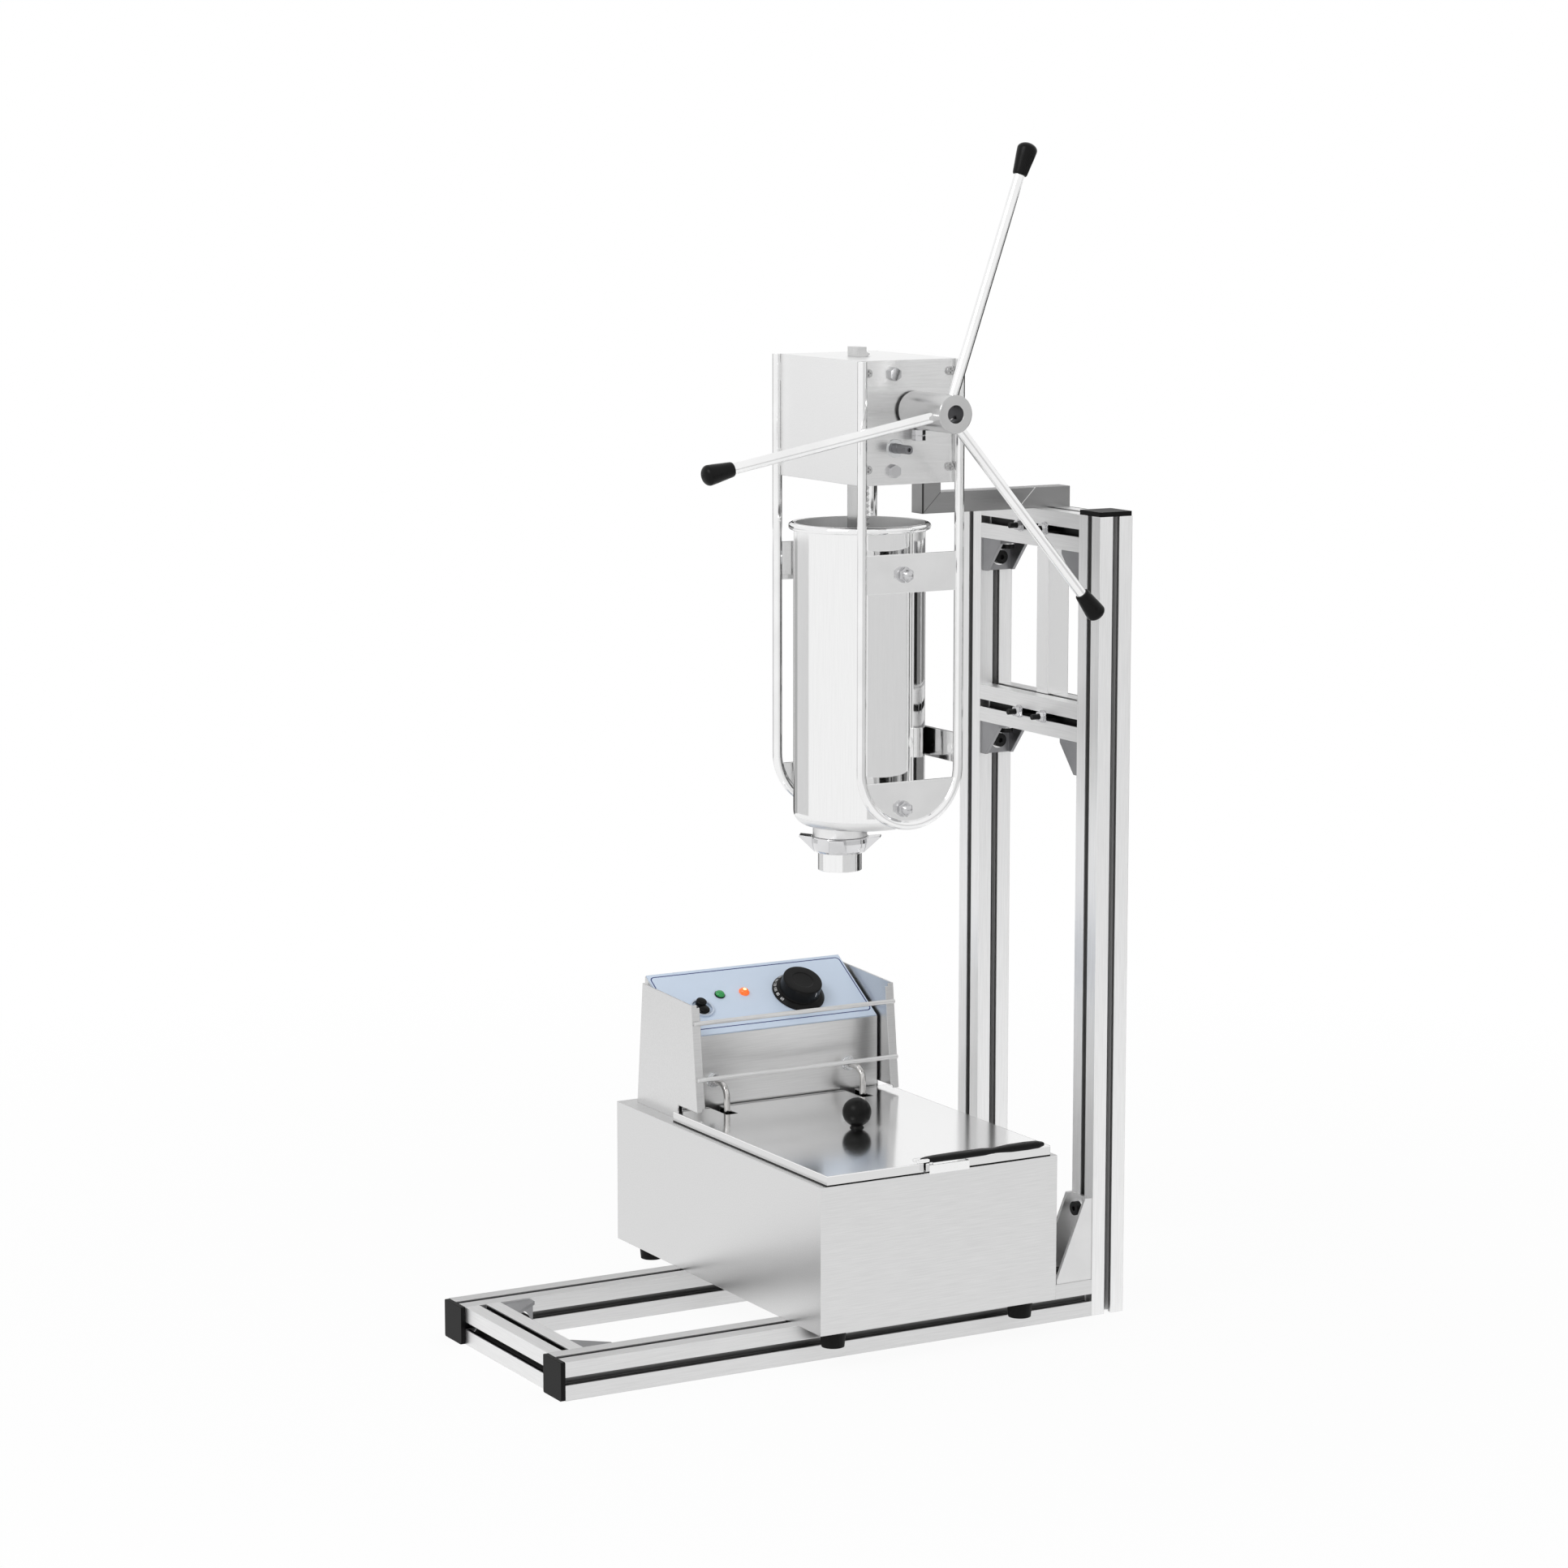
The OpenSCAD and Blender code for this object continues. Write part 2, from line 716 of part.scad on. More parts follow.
// places of the small brackets
module small_places() {
    for (z = [upper_beam_z - half, lower_beam_z - half]) {
        translate([beam_length / 2, upright_y, z]) rotate([0, 180, 0]) children();
        translate([-beam_length / 2, upright_y, z]) rotate([180, 0, 0]) children();
    }
    translate([-beam_length / 2, front_y + profile, half]) rotate([-90, 0, 0])
        children();
    translate([beam_length / 2, front_y + profile, half]) rotate([-90, 0, 0])
        rotate([0, 0, 180]) children();
}

// places of the foot brackets
module foot_places() for (side = [-1, 1])
    translate([side * rail_x, rear_y - profile, profile]) rotate([0, 0, -90])
        children();

// children at the two bolts of a bracket: the bolt's axis is Z there, with the
// bracket's leg above zero and the profile below it
module bolt_places(leg, tall, share_a, share_b) {
    translate([leg * share_a, 0, 0]) children();
    translate([0, 0, tall * share_b]) rotate(a = 180, v = [1, 0, 1]) children();
}

module all_bolt_places() {
    small_places() bolt_places(bracket_leg, bracket_leg, leg_bolt_share,
                               leg_bolt_share) children();
    foot_places() bolt_places(foot_bracket_length, foot_bracket_height,
                              leg_bolt_share, tall_bolt_share) children();
}

module corner_brackets() translate(home) color("gray") small_places()
    bracket(bracket_leg, bracket_leg, bracket_width, leg_bolt_share, leg_bolt_share);

module foot_brackets() translate(home) color("gray") foot_places()
    bracket(foot_bracket_length, foot_bracket_height, foot_bracket_width,
            leg_bolt_share, tall_bolt_share);

module bracket_bolts() translate(home) color("black") all_bolt_places() difference() {
    union() {
        rod_z(-nut_side, bolt_seat, 0, 0, bolt_thread / 2);
        rod_z(bolt_seat, bolt_seat + bolt_head_height, 0, 0, bolt_head / 2);
    }
    rod_z(bolt_seat + bolt_head_height - bolt_socket_depth,
          bolt_seat + bolt_head_height + cut, 0, 0, bolt_socket / 2, 6);
}

module bracket_washers() translate(home) color("silver") all_bolt_places()
    ring_z(bracket_wall, bolt_seat, 0, 0, washer / 2, bolt_thread / 2 + fit);

module slot_nuts() translate(home) color("silver") all_bolt_places() difference() {
    box([-slot_nut_length / 2, -slot_nut_width / 2, -nut_side],
        [slot_nut_length / 2, slot_nut_width / 2, -slot_lip]);
    rod_z(-nut_side - cut, -slot_lip + cut, 0, 0, bolt_thread / 2 + fit);
}

// support arm

arm_half = arm_tube / 2;
arm_in = arm_half - arm_wall;
arm_top = upright_height + arm_tube;
arm_y1 = gearbox_y1 + arm_tube;
arm_plate_z0s = [lower_beam_z - half, upper_beam_z - half];
arm_bolt_shares = [0.12, 0.4];
arm_bolt_zs = [for (share = arm_bolt_shares) gearbox_bottom + gearbox_height * share];

module support_arm() translate(home) color("gray") difference() {
    union() {
        box([-arm_half, gearbox_y1, upright_height],
            [arm_half, arm_y1, upright_height + arm_rise]);
        box([-arm_half, gearbox_y1, upright_height], [arm_half, rear_y, arm_top]);
        box([-arm_half, rear_y - arm_tube, lower_beam_z + half],
            [arm_half, rear_y, upper_beam_z - half]);
        box([-arm_half, rear_y, lower_beam_z - half],
            [arm_half, rear_y + arm_plate, arm_top]);
        for (z = arm_plate_z0s)
            box([arm_bolt_left - arm_plate_edge, rear_y, z],
                [arm_bolt_right + arm_plate_edge, rear_y + arm_plate, z + profile]);
    }
    box([-arm_in, gearbox_y1 + arm_wall, upright_height + arm_wall],
        [arm_in, arm_y1 - arm_wall, upright_height + arm_rise - arm_wall]);
    box([-arm_in, gearbox_y1 + arm_wall, upright_height + arm_wall],
        [arm_in, rear_y - arm_wall, arm_top - arm_wall]);
    box([-arm_in, rear_y - arm_tube + arm_wall, lower_beam_z + half + arm_wall],
        [arm_in, rear_y - arm_wall, upper_beam_z - half - arm_wall]);
    for (x = [arm_bolt_left, arm_bolt_right], z = [upper_beam_z, lower_beam_z])
        rod_y(rear_y - cut, rear_y + arm_plate + cut, x, z, arm_bolt_thread / 2 + air);
    for (z = arm_bolt_zs)
        rod_y(gearbox_y1 - cut, arm_y1 + cut, 0, z, bolt_thread / 2 + fit);
}

clamp_seat = rear_y - profile - washer_thickness;

module clamp_places() for (x = [arm_bolt_left, arm_bolt_right],
    z = [upper_beam_z, lower_beam_z]) translate([x, 0, z]) children();

module clamp_nuts() translate(home) color("silver") clamp_places() difference() {
    union() {
        rod_y(clamp_seat, rear_y - profile, 0, 0, small_washer / 2);
        rod_y(clamp_seat - small_hex_height, clamp_seat, 0, 0, small_hex / 2, 6);
    }
    rod_y(clamp_seat - small_hex_height - cut, rear_y - profile + cut, 0, 0,
          arm_bolt_thread / 2 + fit);
}

module arm_bolts() translate(home) color("silver") {
    clamp_places() {
        rod_y(rear_y - profile - arm_bolt_out, rear_y + arm_plate, 0, 0,
              arm_bolt_thread / 2);
        rod_y(rear_y + arm_plate, rear_y + arm_plate + small_hex_height, 0, 0,
              small_hex / 2, 6);
    }
    for (z = arm_bolt_zs) gearbox_bolt(z);
}

// bolt through the arm and the gearbox's rear wall with its nut inside
module gearbox_bolt(z) {
    rod_y(gearbox_y1 - gearbox_wall - bolt_head_height, arm_y1, 0, z,
          bolt_thread / 2);
    rod_y(arm_y1, arm_y1 + tie_hex_height, 0, z, tie_hex / 2, 6);
    difference() {
        rod_y(gearbox_y1 - gearbox_wall - tie_hex_height, gearbox_y1 - gearbox_wall,
              0, z, tie_hex / 2, 6);
        rod_y(gearbox_y0, gearbox_y1, 0, z, bolt_thread / 2 - fit);
    }
}

// gearbox

screw_places = [
    [gearbox_y0 + screw_inset_front, gearbox_top - screw_inset_top],
    [gearbox_y1 - screw_inset_rear, gearbox_top - screw_inset_top],
    [gearbox_y0 + screw_inset_front, gearbox_bottom + screw_inset_bottom],
    [gearbox_y1 - screw_inset_rear, gearbox_bottom + screw_inset_bottom]];
tie_places = [[tie_y, gearbox_top - tie_inset], [tie_y, gearbox_bottom + tie_inset]];

module shell_section() difference() {
    translate([gearbox_y0, gearbox_bottom]) square([gearbox_depth, gearbox_height]);
    translate([gearbox_y0 + gearbox_wall, gearbox_bottom + gearbox_wall])
        square([gearbox_depth - 2 * gearbox_wall, gearbox_height - 2 * gearbox_wall]);
}

// corner block from a screw to the nearest corner of the box
module corner_blocks(x0, x1) for (p = screw_places) {
    front = p[0] < press_y;
    low = p[1] < shaft_z;
    box([x0, front ? gearbox_y0 : p[0] - corner_block,
         low ? gearbox_bottom : p[1] - corner_block],
        [x1, front ? p[0] + corner_block : gearbox_y1,
         low ? p[1] + corner_block : gearbox_top]);
}

module gearbox_shell() translate(home) color("gainsboro") difference() {
    union() {
        across(-inner_x, inner_x) shell_section();
        corner_blocks(inner_x - corner_block_depth, inner_x);
        corner_blocks(-inner_x, -inner_x + corner_block_depth);
    }
    for (z = [gearbox_bottom, gearbox_top])
        box([-guide_in - 3 * air, rack_y0 - 3 * air, z - 2 * gearbox_wall],
            [guide_in + 3 * air, rack_y + gear_module + 4 * air, z + 2 * gearbox_wall]);
    for (p = screw_places, side = [-1, 1])
        rod_x(side > 0 ? inner_x - screw_length : -inner_x - cut,
              side > 0 ? inner_x + cut : screw_length - inner_x,
              p[0], p[1], screw_thread / 2 + fit);
    for (z = arm_bolt_zs)
        rod_y(gearbox_y1 - gearbox_wall - cut, gearbox_y1 + cut, 0, z,
              bolt_thread / 2 + fit);
}

module plate_blank(x0, x1) difference() {
    box([x0, gearbox_y0, gearbox_bottom], [x1, gearbox_y1, gearbox_top]);
    for (p = screw_places) rod_x(x0 - cut, x1 + cut, p[0], p[1], screw_thread / 2 + fit);
    for (p = tie_places) rod_x(x0 - cut, x1 + cut, p[0], p[1], bolt_thread / 2 + fit);
    rod_x(x0 - cut, x1 + cut, shaft_y, shaft_z, shaft_r + bush_wall);
}

module gearbox_right_plate() translate(home) color("silver") difference() {
    plate_blank(inner_x, gearbox_x);
    rod_x(inner_x - cut, gearbox_x + cut, slow_y, slow_z, slow_r + bush_wall - rim);
}

module gearbox_left_plate() translate(home) color("silver") plate_blank(-gearbox_x, -inner_x);

module plate_screws() translate(home) color("silver") for (p = screw_places, side = [-1, 1])
    translate([0, p[0], p[1]]) rotate([0, side * 90, 0]) difference() {
        union() {
            rod_z(inner_x - screw_length + fit, gearbox_x, 0, 0, screw_thread / 2);
            rod_z(gearbox_x, gearbox_x + screw_head_height, 0, 0, screw_head / 2);
        }
        for (a = [0, 90]) rotate(a)
            box([-screw_head / 3, -cross_slot / 2, gearbox_x + screw_head_height / 2],
                [screw_head / 3, cross_slot / 2, gearbox_x + screw_head_height + cut]);
    }

module rack_guide() translate(home) color("slategray") difference() {
    union() {
        box([-guide_out, rack_y0 - guide_back, guide_z0], [guide_out, guide_y1, guide_z1]);
        for (p = tie_places) rod_x(-inner_x, inner_x, p[0], p[1], tie_rod / 2);
    }
    box([-guide_in, rack_y0 - rack_play, gearbox_bottom],
        [guide_in, shaft_y, gearbox_top]);
    rod_x(guide_in + rim, guide_out + cut, slow_y, slow_z, slow_r + running_play);
    for (p = tie_places, side = [-1, 1])
        rod_x(side > 0 ? guide_out + gearbox_wall : -inner_x - cut,
              side > 0 ? inner_x + cut : -guide_out - gearbox_wall,
              p[0], p[1], bolt_thread / 2 + fit);
}

module tie_bolts() translate(home) color("silver") for (p = tie_places, side = [-1, 1])
    translate([0, p[0], p[1]]) rotate([0, side * 90, 0]) {
        rod_z(inner_x - 2 * screw_length, gearbox_x, 0, 0, bolt_thread / 2);
        rod_z(gearbox_x, gearbox_x + tie_hex_height, 0, 0, tie_hex / 2, 6);
    }

module bush(r, wall) difference() {
    union() {
        rod_z(inner_x - gearbox_wall, gearbox_x, 0, 0, r + wall);
        rod_z(gearbox_x, gearbox_x + bush_flange_thickness, 0, 0,
              r + wall + bush_flange);
    }
    rod_z(inner_x - 2 * gearbox_wall, gearbox_x + gearbox_wall, 0, 0,
          r + running_play);
}

module shaft_bushes() translate(home) color("darkgoldenrod") {
    for (side = [-1, 1]) translate([0, shaft_y, shaft_z]) rotate([0, side * 90, 0])
        bush(shaft_r, bush_wall);
    translate([0, slow_y, slow_z]) rotate([0, 90, 0]) bush(slow_r, bush_wall - rim);
}

// side frames

// rod frame, straps, lower plate and weld seams of one side
module side_frame(side) difference() {
    union() {
        for (y = [frame_y0, frame_y1])
            rod_z(bend_z, gearbox_top, side * frame_x, y, rod_d / 2);
        translate([side * frame_x, bend_y, bend_z]) rotate([0, 90, 0])
            rotate([0, 0, -90]) rotate_extrude(angle = 180)
                translate([bend_r, 0]) circle(rod_d / 2);
        strap_box(side, strap_z - strap_height / 2, strap_z + strap_height / 2);
        across(side * frame_x - strap_thickness / 2, side * frame_x + strap_thickness / 2)
            difference() {
                translate([bend_y, bend_z]) circle(bend_r);
                translate([bend_y - 2 * bend_r, barrel_bottom + plate_rise])
                    square([4 * bend_r, 4 * bend_r]);
            }
        for (y = [frame_y0, frame_y1],
             z = [gearbox_bottom + lug_inset, gearbox_top - lug_inset - lug_height])
            box([min(side * gearbox_x, side * frame_x), y - rod_d / 4, z],
                [max(side * gearbox_x, side * frame_x), y + rod_d / 4, z + lug_height]);
    }
    for (z = stud_zs)
        rod_x(side * frame_x - rod_d, side * frame_x + rod_d, press_y, z,
              stud_d / 2 + fit);
}

module strap_box(side, z0, z1) box([side * frame_x - strap_thickness / 2, frame_y0, z0],
    [side * frame_x + strap_thickness / 2, frame_y1, z1]);

module side_frame_right() translate(home) color("lightgray") side_frame(1);
module side_frame_left() translate(home) color("lightgray") side_frame(-1);

band_end = frame_x - sqrt(pow(rod_d / 2, 2) - pow(band_y - frame_y1, 2)) - fit;

module rear_band() translate(home) color("lightgray") {
    box([-band_end, band_y, band_z],
        [band_end, band_y + strap_thickness, band_z + band_height]);
    for (side = [-1, 1]) rod_y(band_y - 2 * strap_thickness,
        band_y + 2 * strap_thickness, side * (frame_x - rod_d), band_z + band_height / 2,
        rod_d / 2);
}

// barrel with its rolled rim, outlet neck and thread
module barrel() translate(home) color("lightgray") difference() {
    union() {
        translate([0, press_y, barrel_bottom]) rotate_extrude($fn = 96) {
            translate([0, barrel_corner]) square([barrel_r, barrel_height - barrel_corner]);
            square([barrel_r - barrel_corner, barrel_corner]);
            intersection() {
                translate([barrel_r - barrel_corner, barrel_corner]) circle(barrel_corner);
                translate([barrel_r - barrel_corner, 0]) square(barrel_corner);
            }
            translate([barrel_r + rim_out - rim_roll / 2, barrel_height - rim_roll / 2])
                circle(rim_roll / 2);
        }
        rod_z(neck_bottom, barrel_bottom + barrel_wall, 0, outlet_y, neck_d / 2);
        rod_z(thread_bottom, neck_bottom + cut, 0, outlet_y, thread_d / 2);
    }
    translate([0, press_y, barrel_bottom + barrel_wall]) rotate_extrude($fn = 96) {
        translate([0, barrel_corner]) square([bore_r, barrel_height]);
        square([bore_r - barrel_corner, barrel_corner]);
        intersection() {
            translate([bore_r - barrel_corner, barrel_corner]) circle(barrel_corner);
            translate([bore_r - barrel_corner, 0]) square(barrel_corner);
        }
    }
    rod_z(thread_bottom - cut, barrel_bottom + barrel_corner, 0, outlet_y,
          outlet_bore / 2);
}

module stud_places() for (z = stud_zs, side = [-1, 1])
    translate([0, press_y, z]) rotate([0, side * 90, 0]) children();

strap_out = frame_x + strap_thickness / 2;
strap_in = frame_x - strap_thickness / 2;

module barrel_studs() translate(home) color("silver") difference() {
    stud_places() {
        rod_z(barrel_r - spacer_d / 2, strap_in, 0, 0, spacer_d / 2);
        rod_z(strap_in - cut, strap_out + washer_thickness + cap_hex_height, 0, 0,
              stud_d / 2);
    }
    rod_z(barrel_bottom, barrel_top, 0, press_y, barrel_r, 96);
}

cap_share = 0.38;

module cap_nuts() translate(home) color("silver") stud_places() difference() {
    union() {
        rod_z(strap_out, strap_out + washer_thickness, 0, 0, cap_hex / 2 + rim);
        rod_z(strap_out + washer_thickness, strap_out + washer_thickness + cap_hex_height,
              0, 0, cap_hex / 2, 6);
        translate([0, 0, strap_out + washer_thickness + cap_hex_height])
            sphere(cap_hex * cap_share);
    }
    rod_z(strap_out - cut, strap_out + washer_thickness + cap_hex_height, 0, 0,
          stud_d / 2 + fit);
}

// gear outlines

function inv(a) = tan(a) * 180 / PI - a;

// angle of a tooth's flank at radius r, from the tooth's middle
function flank(n, r) = let (rp = n * gear_module / 2, rb = rp * cos(tooth_angle),
    at = r > rb ? inv(acos(rb / r)) : 0)
    90 / n - tooth_play * 45 / (PI * rp) + inv(tooth_angle) - at;

flank_shares = [0, 0.25, 0.5, 0.75, 1];

// outline of a spur gear whose first tooth points along the first axis
module gear_outline(n, addendum) {
    rp = n * gear_module / 2;
    rb = rp * cos(tooth_angle);
    root = rp - dedendum_share * gear_module;
    tip = rp + addendum * gear_module;
    start = max(rb, root);
    side = [for (s = flank_shares) start + (tip - start) * s];
    up = concat(root < start ? [root] : [], side);
    down = [for (i = [len(up) - 1:-1:0]) up[i]];
    polygon([for (k = [0:n - 1]) each concat(
        [for (r = up) r * [cos(360 * k / n - flank(n, max(r, rb))),
                           sin(360 * k / n - flank(n, max(r, rb)))]],
        [for (r = down) r * [cos(360 * k / n + flank(n, max(r, rb))),
                             sin(360 * k / n + flank(n, max(r, rb)))]])]);
}

// star wheel

module main_shaft() translate(home) color("silver") {
    rod_x(-shaft_left, -neck_half, shaft_y, shaft_z, shaft_r);
    rod_x(neck_half, shaft_right, shaft_y, shaft_z, shaft_r);
    rod_x(-neck_half - cut, neck_half + cut, shaft_y, shaft_z,
          pitch_r - dedendum_share * gear_module - fit);
    translate([-pinion_half, shaft_y, shaft_z]) rotate([90, 0, 90])
        linear_extrude(2 * pinion_half) rotate(180) gear_outline(pinion_teeth, 1);
}

module main_gear() translate(home) color("dimgray") difference() {
    translate([gear_start, shaft_y, shaft_z]) rotate([90, 0, 90])
        linear_extrude(gear_width) rotate(slow_angle)
            gear_outline(gear_teeth, addendum_share);
    rod_x(gear_start - cut, gear_start + gear_width + cut, shaft_y, shaft_z, shaft_r);
}

spoke_angles = [spoke_angle, spoke_angle + 120, spoke_angle + 240];

// children drawn along Z from the wheel's axis, in the plane x
module radial(x, a) translate([x, shaft_y, shaft_z]) rotate([a - 90, 0, 0]) children();

module spoke_hub() translate(home) color("silver") difference() {
    translate([hub_x0, shaft_y, shaft_z]) rotate([0, 90, 0]) {
        rod_z(0, hub_length, 0, 0, hub_d / 2 - rim);
        rod_z(rim, hub_length - rim, 0, 0, hub_d / 2);
    }
    rod_x(hub_x0 - cut, hub_x1 + cut, shaft_y, shaft_z, shaft_r);
    for (a = spoke_angles) radial(spoke_x, a) rod_z(0, hub_d, 0, 0, spoke_d / 2);
    radial(hub_x0 + lock_inset, 270) rod_z(0, hub_d, 0, 0, bolt_thread / 2);
}

spoke_end = spoke_reach - grip_length + grip_bore_depth;

module spokes() translate(home) color("silver") for (a = spoke_angles) radial(spoke_x, a)
    rod_z(shaft_r + rim, spoke_end, 0, 0, spoke_d / 2);

grip_end_share = 0.7;

module spoke_grips() translate(home) color("black") for (a = spoke_angles) radial(spoke_x, a)
    difference() {
        union() {
            translate([0, 0, spoke_reach - grip_length])
                cylinder(h = grip_length - grip_tip_d / 4, d1 = grip_root_d, d2 = grip_tip_d);
            translate([0, 0, spoke_reach - grip_tip_d / 4])
                cylinder(h = grip_tip_d / 4, d1 = grip_tip_d, d2 = grip_tip_d * grip_end_share);
        }
        rod_z(spoke_reach - grip_length - cut, spoke_end, 0, 0, spoke_d / 2);
    }

module hub_lock_bolt() translate(home) color("silver") radial(hub_x0 + lock_inset, 270) {
    rod_z(shaft_r, hub_d / 2 + lock_hex_height, 0, 0, bolt_thread / 2);
    rod_z(hub_d / 2, hub_d / 2 + lock_hex_height, 0, 0, lock_hex / 2, 6);
    rod_z(hub_d / 2 + lock_hex_height, hub_d / 2 + lock_hex_height + rim, 0, 0,
          lock_hex / 2 - rim);
    rod_z(hub_d / 2 + lock_hex_height + rim, hub_d / 2 + 2 * lock_hex_height, 0, 0,
          lock_hex / 2, 6);
}

module slow_shaft() translate(home) color("silver") difference() {
    union() {
        rod_x(guide_in + 2 * rim, slow_end - seat_length, slow_y, slow_z, slow_r);
        rod_x(guide_in + 2 * rim, slow_end, slow_y, slow_z, seat_d / 2);
        translate([gear_start - gearbox_wall, slow_y, slow_z]) rotate([90, 0, 90])
            linear_extrude(slow_pinion_width)
                rotate(slow_angle + 180 + 180 / pinion_teeth) gear_outline(pinion_teeth, 1);
    }
    for (side = [-1, 1]) translate([slow_end - slow_flat, slow_y, slow_z])
        box([0, side > 0 ? slow_flat_width / 2 : -slow_shaft_d, -slow_shaft_d],
            [slow_flat + cut, side > 0 ? slow_shaft_d : -slow_flat_width / 2,
             slow_shaft_d]);
    rod_x(slow_end - slow_flat / 2, slow_end + cut, slow_y, slow_z, slow_end_hole / 2);
}

// ram

rack_tip = gear_module * addendum_share;
rack_root = gear_module * dedendum_share;
tooth_half = tooth_pitch / 4 - tooth_play / 4;
tip_half = tooth_half - rack_tip * tan(tooth_angle);
root_half = tooth_half + rack_root * tan(tooth_angle);
first_tooth = ceil((piston_top + tooth_pitch - shaft_z) / tooth_pitch);
last_tooth = floor((rack_top - tooth_pitch - shaft_z) / tooth_pitch);

module rack() translate(home) color("gray") {
    across(-rack_width / 2, rack_width / 2) polygon(concat(
        [[rack_y0, rack_top], [rack_y0, piston_top], [rack_y - rack_root, piston_top]],
        [for (k = [first_tooth:last_tooth]) let (z = shaft_z + (k + 0.5) * tooth_pitch)
            each [[rack_y - rack_root, z - root_half], [rack_y + rack_tip, z - tip_half],
                  [rack_y + rack_tip, z + tip_half], [rack_y - rack_root, z + root_half]]],
        [[rack_y - rack_root, rack_top]]));
    rod_z(piston_z, piston_top + cut, 0, press_y - rack_line, rack_stud / 2);
}

module piston() translate(home) color("silver") translate([0, press_y, piston_z]) difference() {
    rotate_extrude($fn = 96) {
        difference() {
            union() {
                translate([0, barrel_corner])
                    square([piston_r, piston_height - barrel_corner]);
                square([piston_r - barrel_corner, barrel_corner]);
                intersection() {
                    translate([piston_r - barrel_corner, barrel_corner])
                        circle(barrel_corner);
                    translate([piston_r - barrel_corner, 0]) square(barrel_corner);
                }
            }
            translate([piston_r - seal_depth, seal_z - piston_z])
                square([seal_depth + cut, seal_height]);
        }
    }
    rod_z(-cut, piston_height + cut, 0, -rack_line, rack_stud / 2 + fit);
    rod_z(-cut, piston_nut_height + rim, 0, -rack_line, piston_hex / 2 + gearbox_wall);
}

module piston_seal() translate(home) color("white")
    ring_z(seal_z + fit, seal_z + seal_height - fit, 0, press_y, seal_r,
           piston_r - seal_depth + fit);

module piston_nut() translate(home) color("silver") difference() {
    rod_z(piston_z + rim, piston_z + piston_nut_height + rim, 0, press_y - rack_line,
          piston_hex / 2, 6);
    rod_z(piston_z, piston_top, 0, press_y - rack_line, rack_stud / 2 + fit);
}

// outlet

module gasket() translate(home) color("white") ring_z(flange_top + fit, thread_bottom - air, 0, outlet_y,
    flange_d / 2, outlet_bore / 2);

module star() polygon([for (k = [0:2 * star_points - 1])
    (k % 2 == 0 ? star_d : star_root_d) / 2
        * [cos(180 * k / star_points), sin(180 * k / star_points)]]);

module nozzle() translate(home) color("silver") difference() {
    union() {
        rod_z(nozzle_bottom, flange_top, 0, outlet_y, nozzle_d / 2);
        rod_z(flange_top - nozzle_flange, flange_top, 0, outlet_y, flange_d / 2);
    }
    rod_z(nozzle_bottom + star_plate, flange_top + cut, 0, outlet_y,
          nozzle_d / 2 - nozzle_wall);
    translate([0, outlet_y, nozzle_bottom - cut]) linear_extrude(star_plate + 2 * cut)
        star();
}

// bowl of the nut, as shares of its radius and height
bowl_shares = [[0.84, 0], [0.93, 0.15], [0.98, 0.4], [1, 0.65], [1, 0.93], [0.98, 1]];
wing_root_share = 0.85;
wing_count = 4;

// triangular wing from the foot of the bowl to a tip level with the neck
module wing() intersection() {
    rotate([90, 0, 0]) linear_extrude(2 * wing_tip, center = true)
        polygon([[nut_d / 2 * wing_root_share, nut_bottom + rim],
                 [wing_reach, neck_bottom - rim], [wing_reach - rim, neck_bottom + rim],
                 [nut_d / 2 * wing_root_share, neck_bottom - 2 * rim]]);
    translate([0, 0, nut_bottom]) linear_extrude(2 * nut_height)
        polygon([[0, -wing_tip * wing_root_share], [wing_reach, -wing_tip / 2],
                 [wing_reach, wing_tip / 2], [0, wing_tip * wing_root_share]]);
}

module wing_nut() translate(home) color("silver") translate([0, outlet_y, 0]) difference() {
    union() {
        translate([0, 0, nut_bottom]) rotate_extrude() polygon(concat([[0, 0]],
            [for (p = bowl_shares) [nut_d / 2 * p[0], (nut_height - air) * p[1]]],
            [[0, nut_height - air]]));
        for (i = [0:wing_count - 1]) rotate(wing_angle + 360 / wing_count * i) wing();
    }
    rod_z(nut_bottom - cut, nut_bottom + nut_lip + cut, 0, 0, nozzle_d / 2 + air);
    rod_z(nut_bottom + nut_lip, neck_bottom, 0, 0, thread_d / 2 + air);
}

// fryer

module fryer_case() translate(home) color("gainsboro") difference() {
    box([case_x0, case_y0, case_z0], [case_x1, case_y1, case_z1]);
    box([case_x0 + sheet, case_y0 + sheet, case_z0 + sheet],
        [case_x1 - sheet, case_y1 - sheet, case_z1 - sheet]);
    round_slab(tank_x0 - sheet - fit, tank_x1 + sheet + fit, tank_y0 - sheet - fit,
               tank_y1 + sheet + fit, case_z1 - 2 * sheet, case_z1 + cut,
               tank_corner + sheet + fit);
}

module fryer_tank() translate(home) color("lightgray") difference() {
    union() {
        round_slab(tank_x0 - sheet, tank_x1 + sheet, tank_y0 - sheet, tank_y1 + sheet,
                   tank_z0, case_z1, tank_corner + sheet);
        round_slab(tank_x0 - tank_flange, tank_x1 + tank_flange, tank_y0 - tank_flange,
                   tank_y1 + tank_flange, case_z1, case_z1 + sheet,
                   tank_corner + tank_flange);
    }
    round_slab(tank_x0, tank_x1, tank_y0, tank_y1, tank_z0 + sheet,
               case_z1 + sheet + cut, tank_corner);
}

module fryer_feet() translate(home) color("black") for (x = foot_xs, y = foot_ys)
    translate([x, y, case_z0 - foot_height])
        cylinder(h = foot_height, d1 = foot_bottom_d, d2 = foot_top_d);

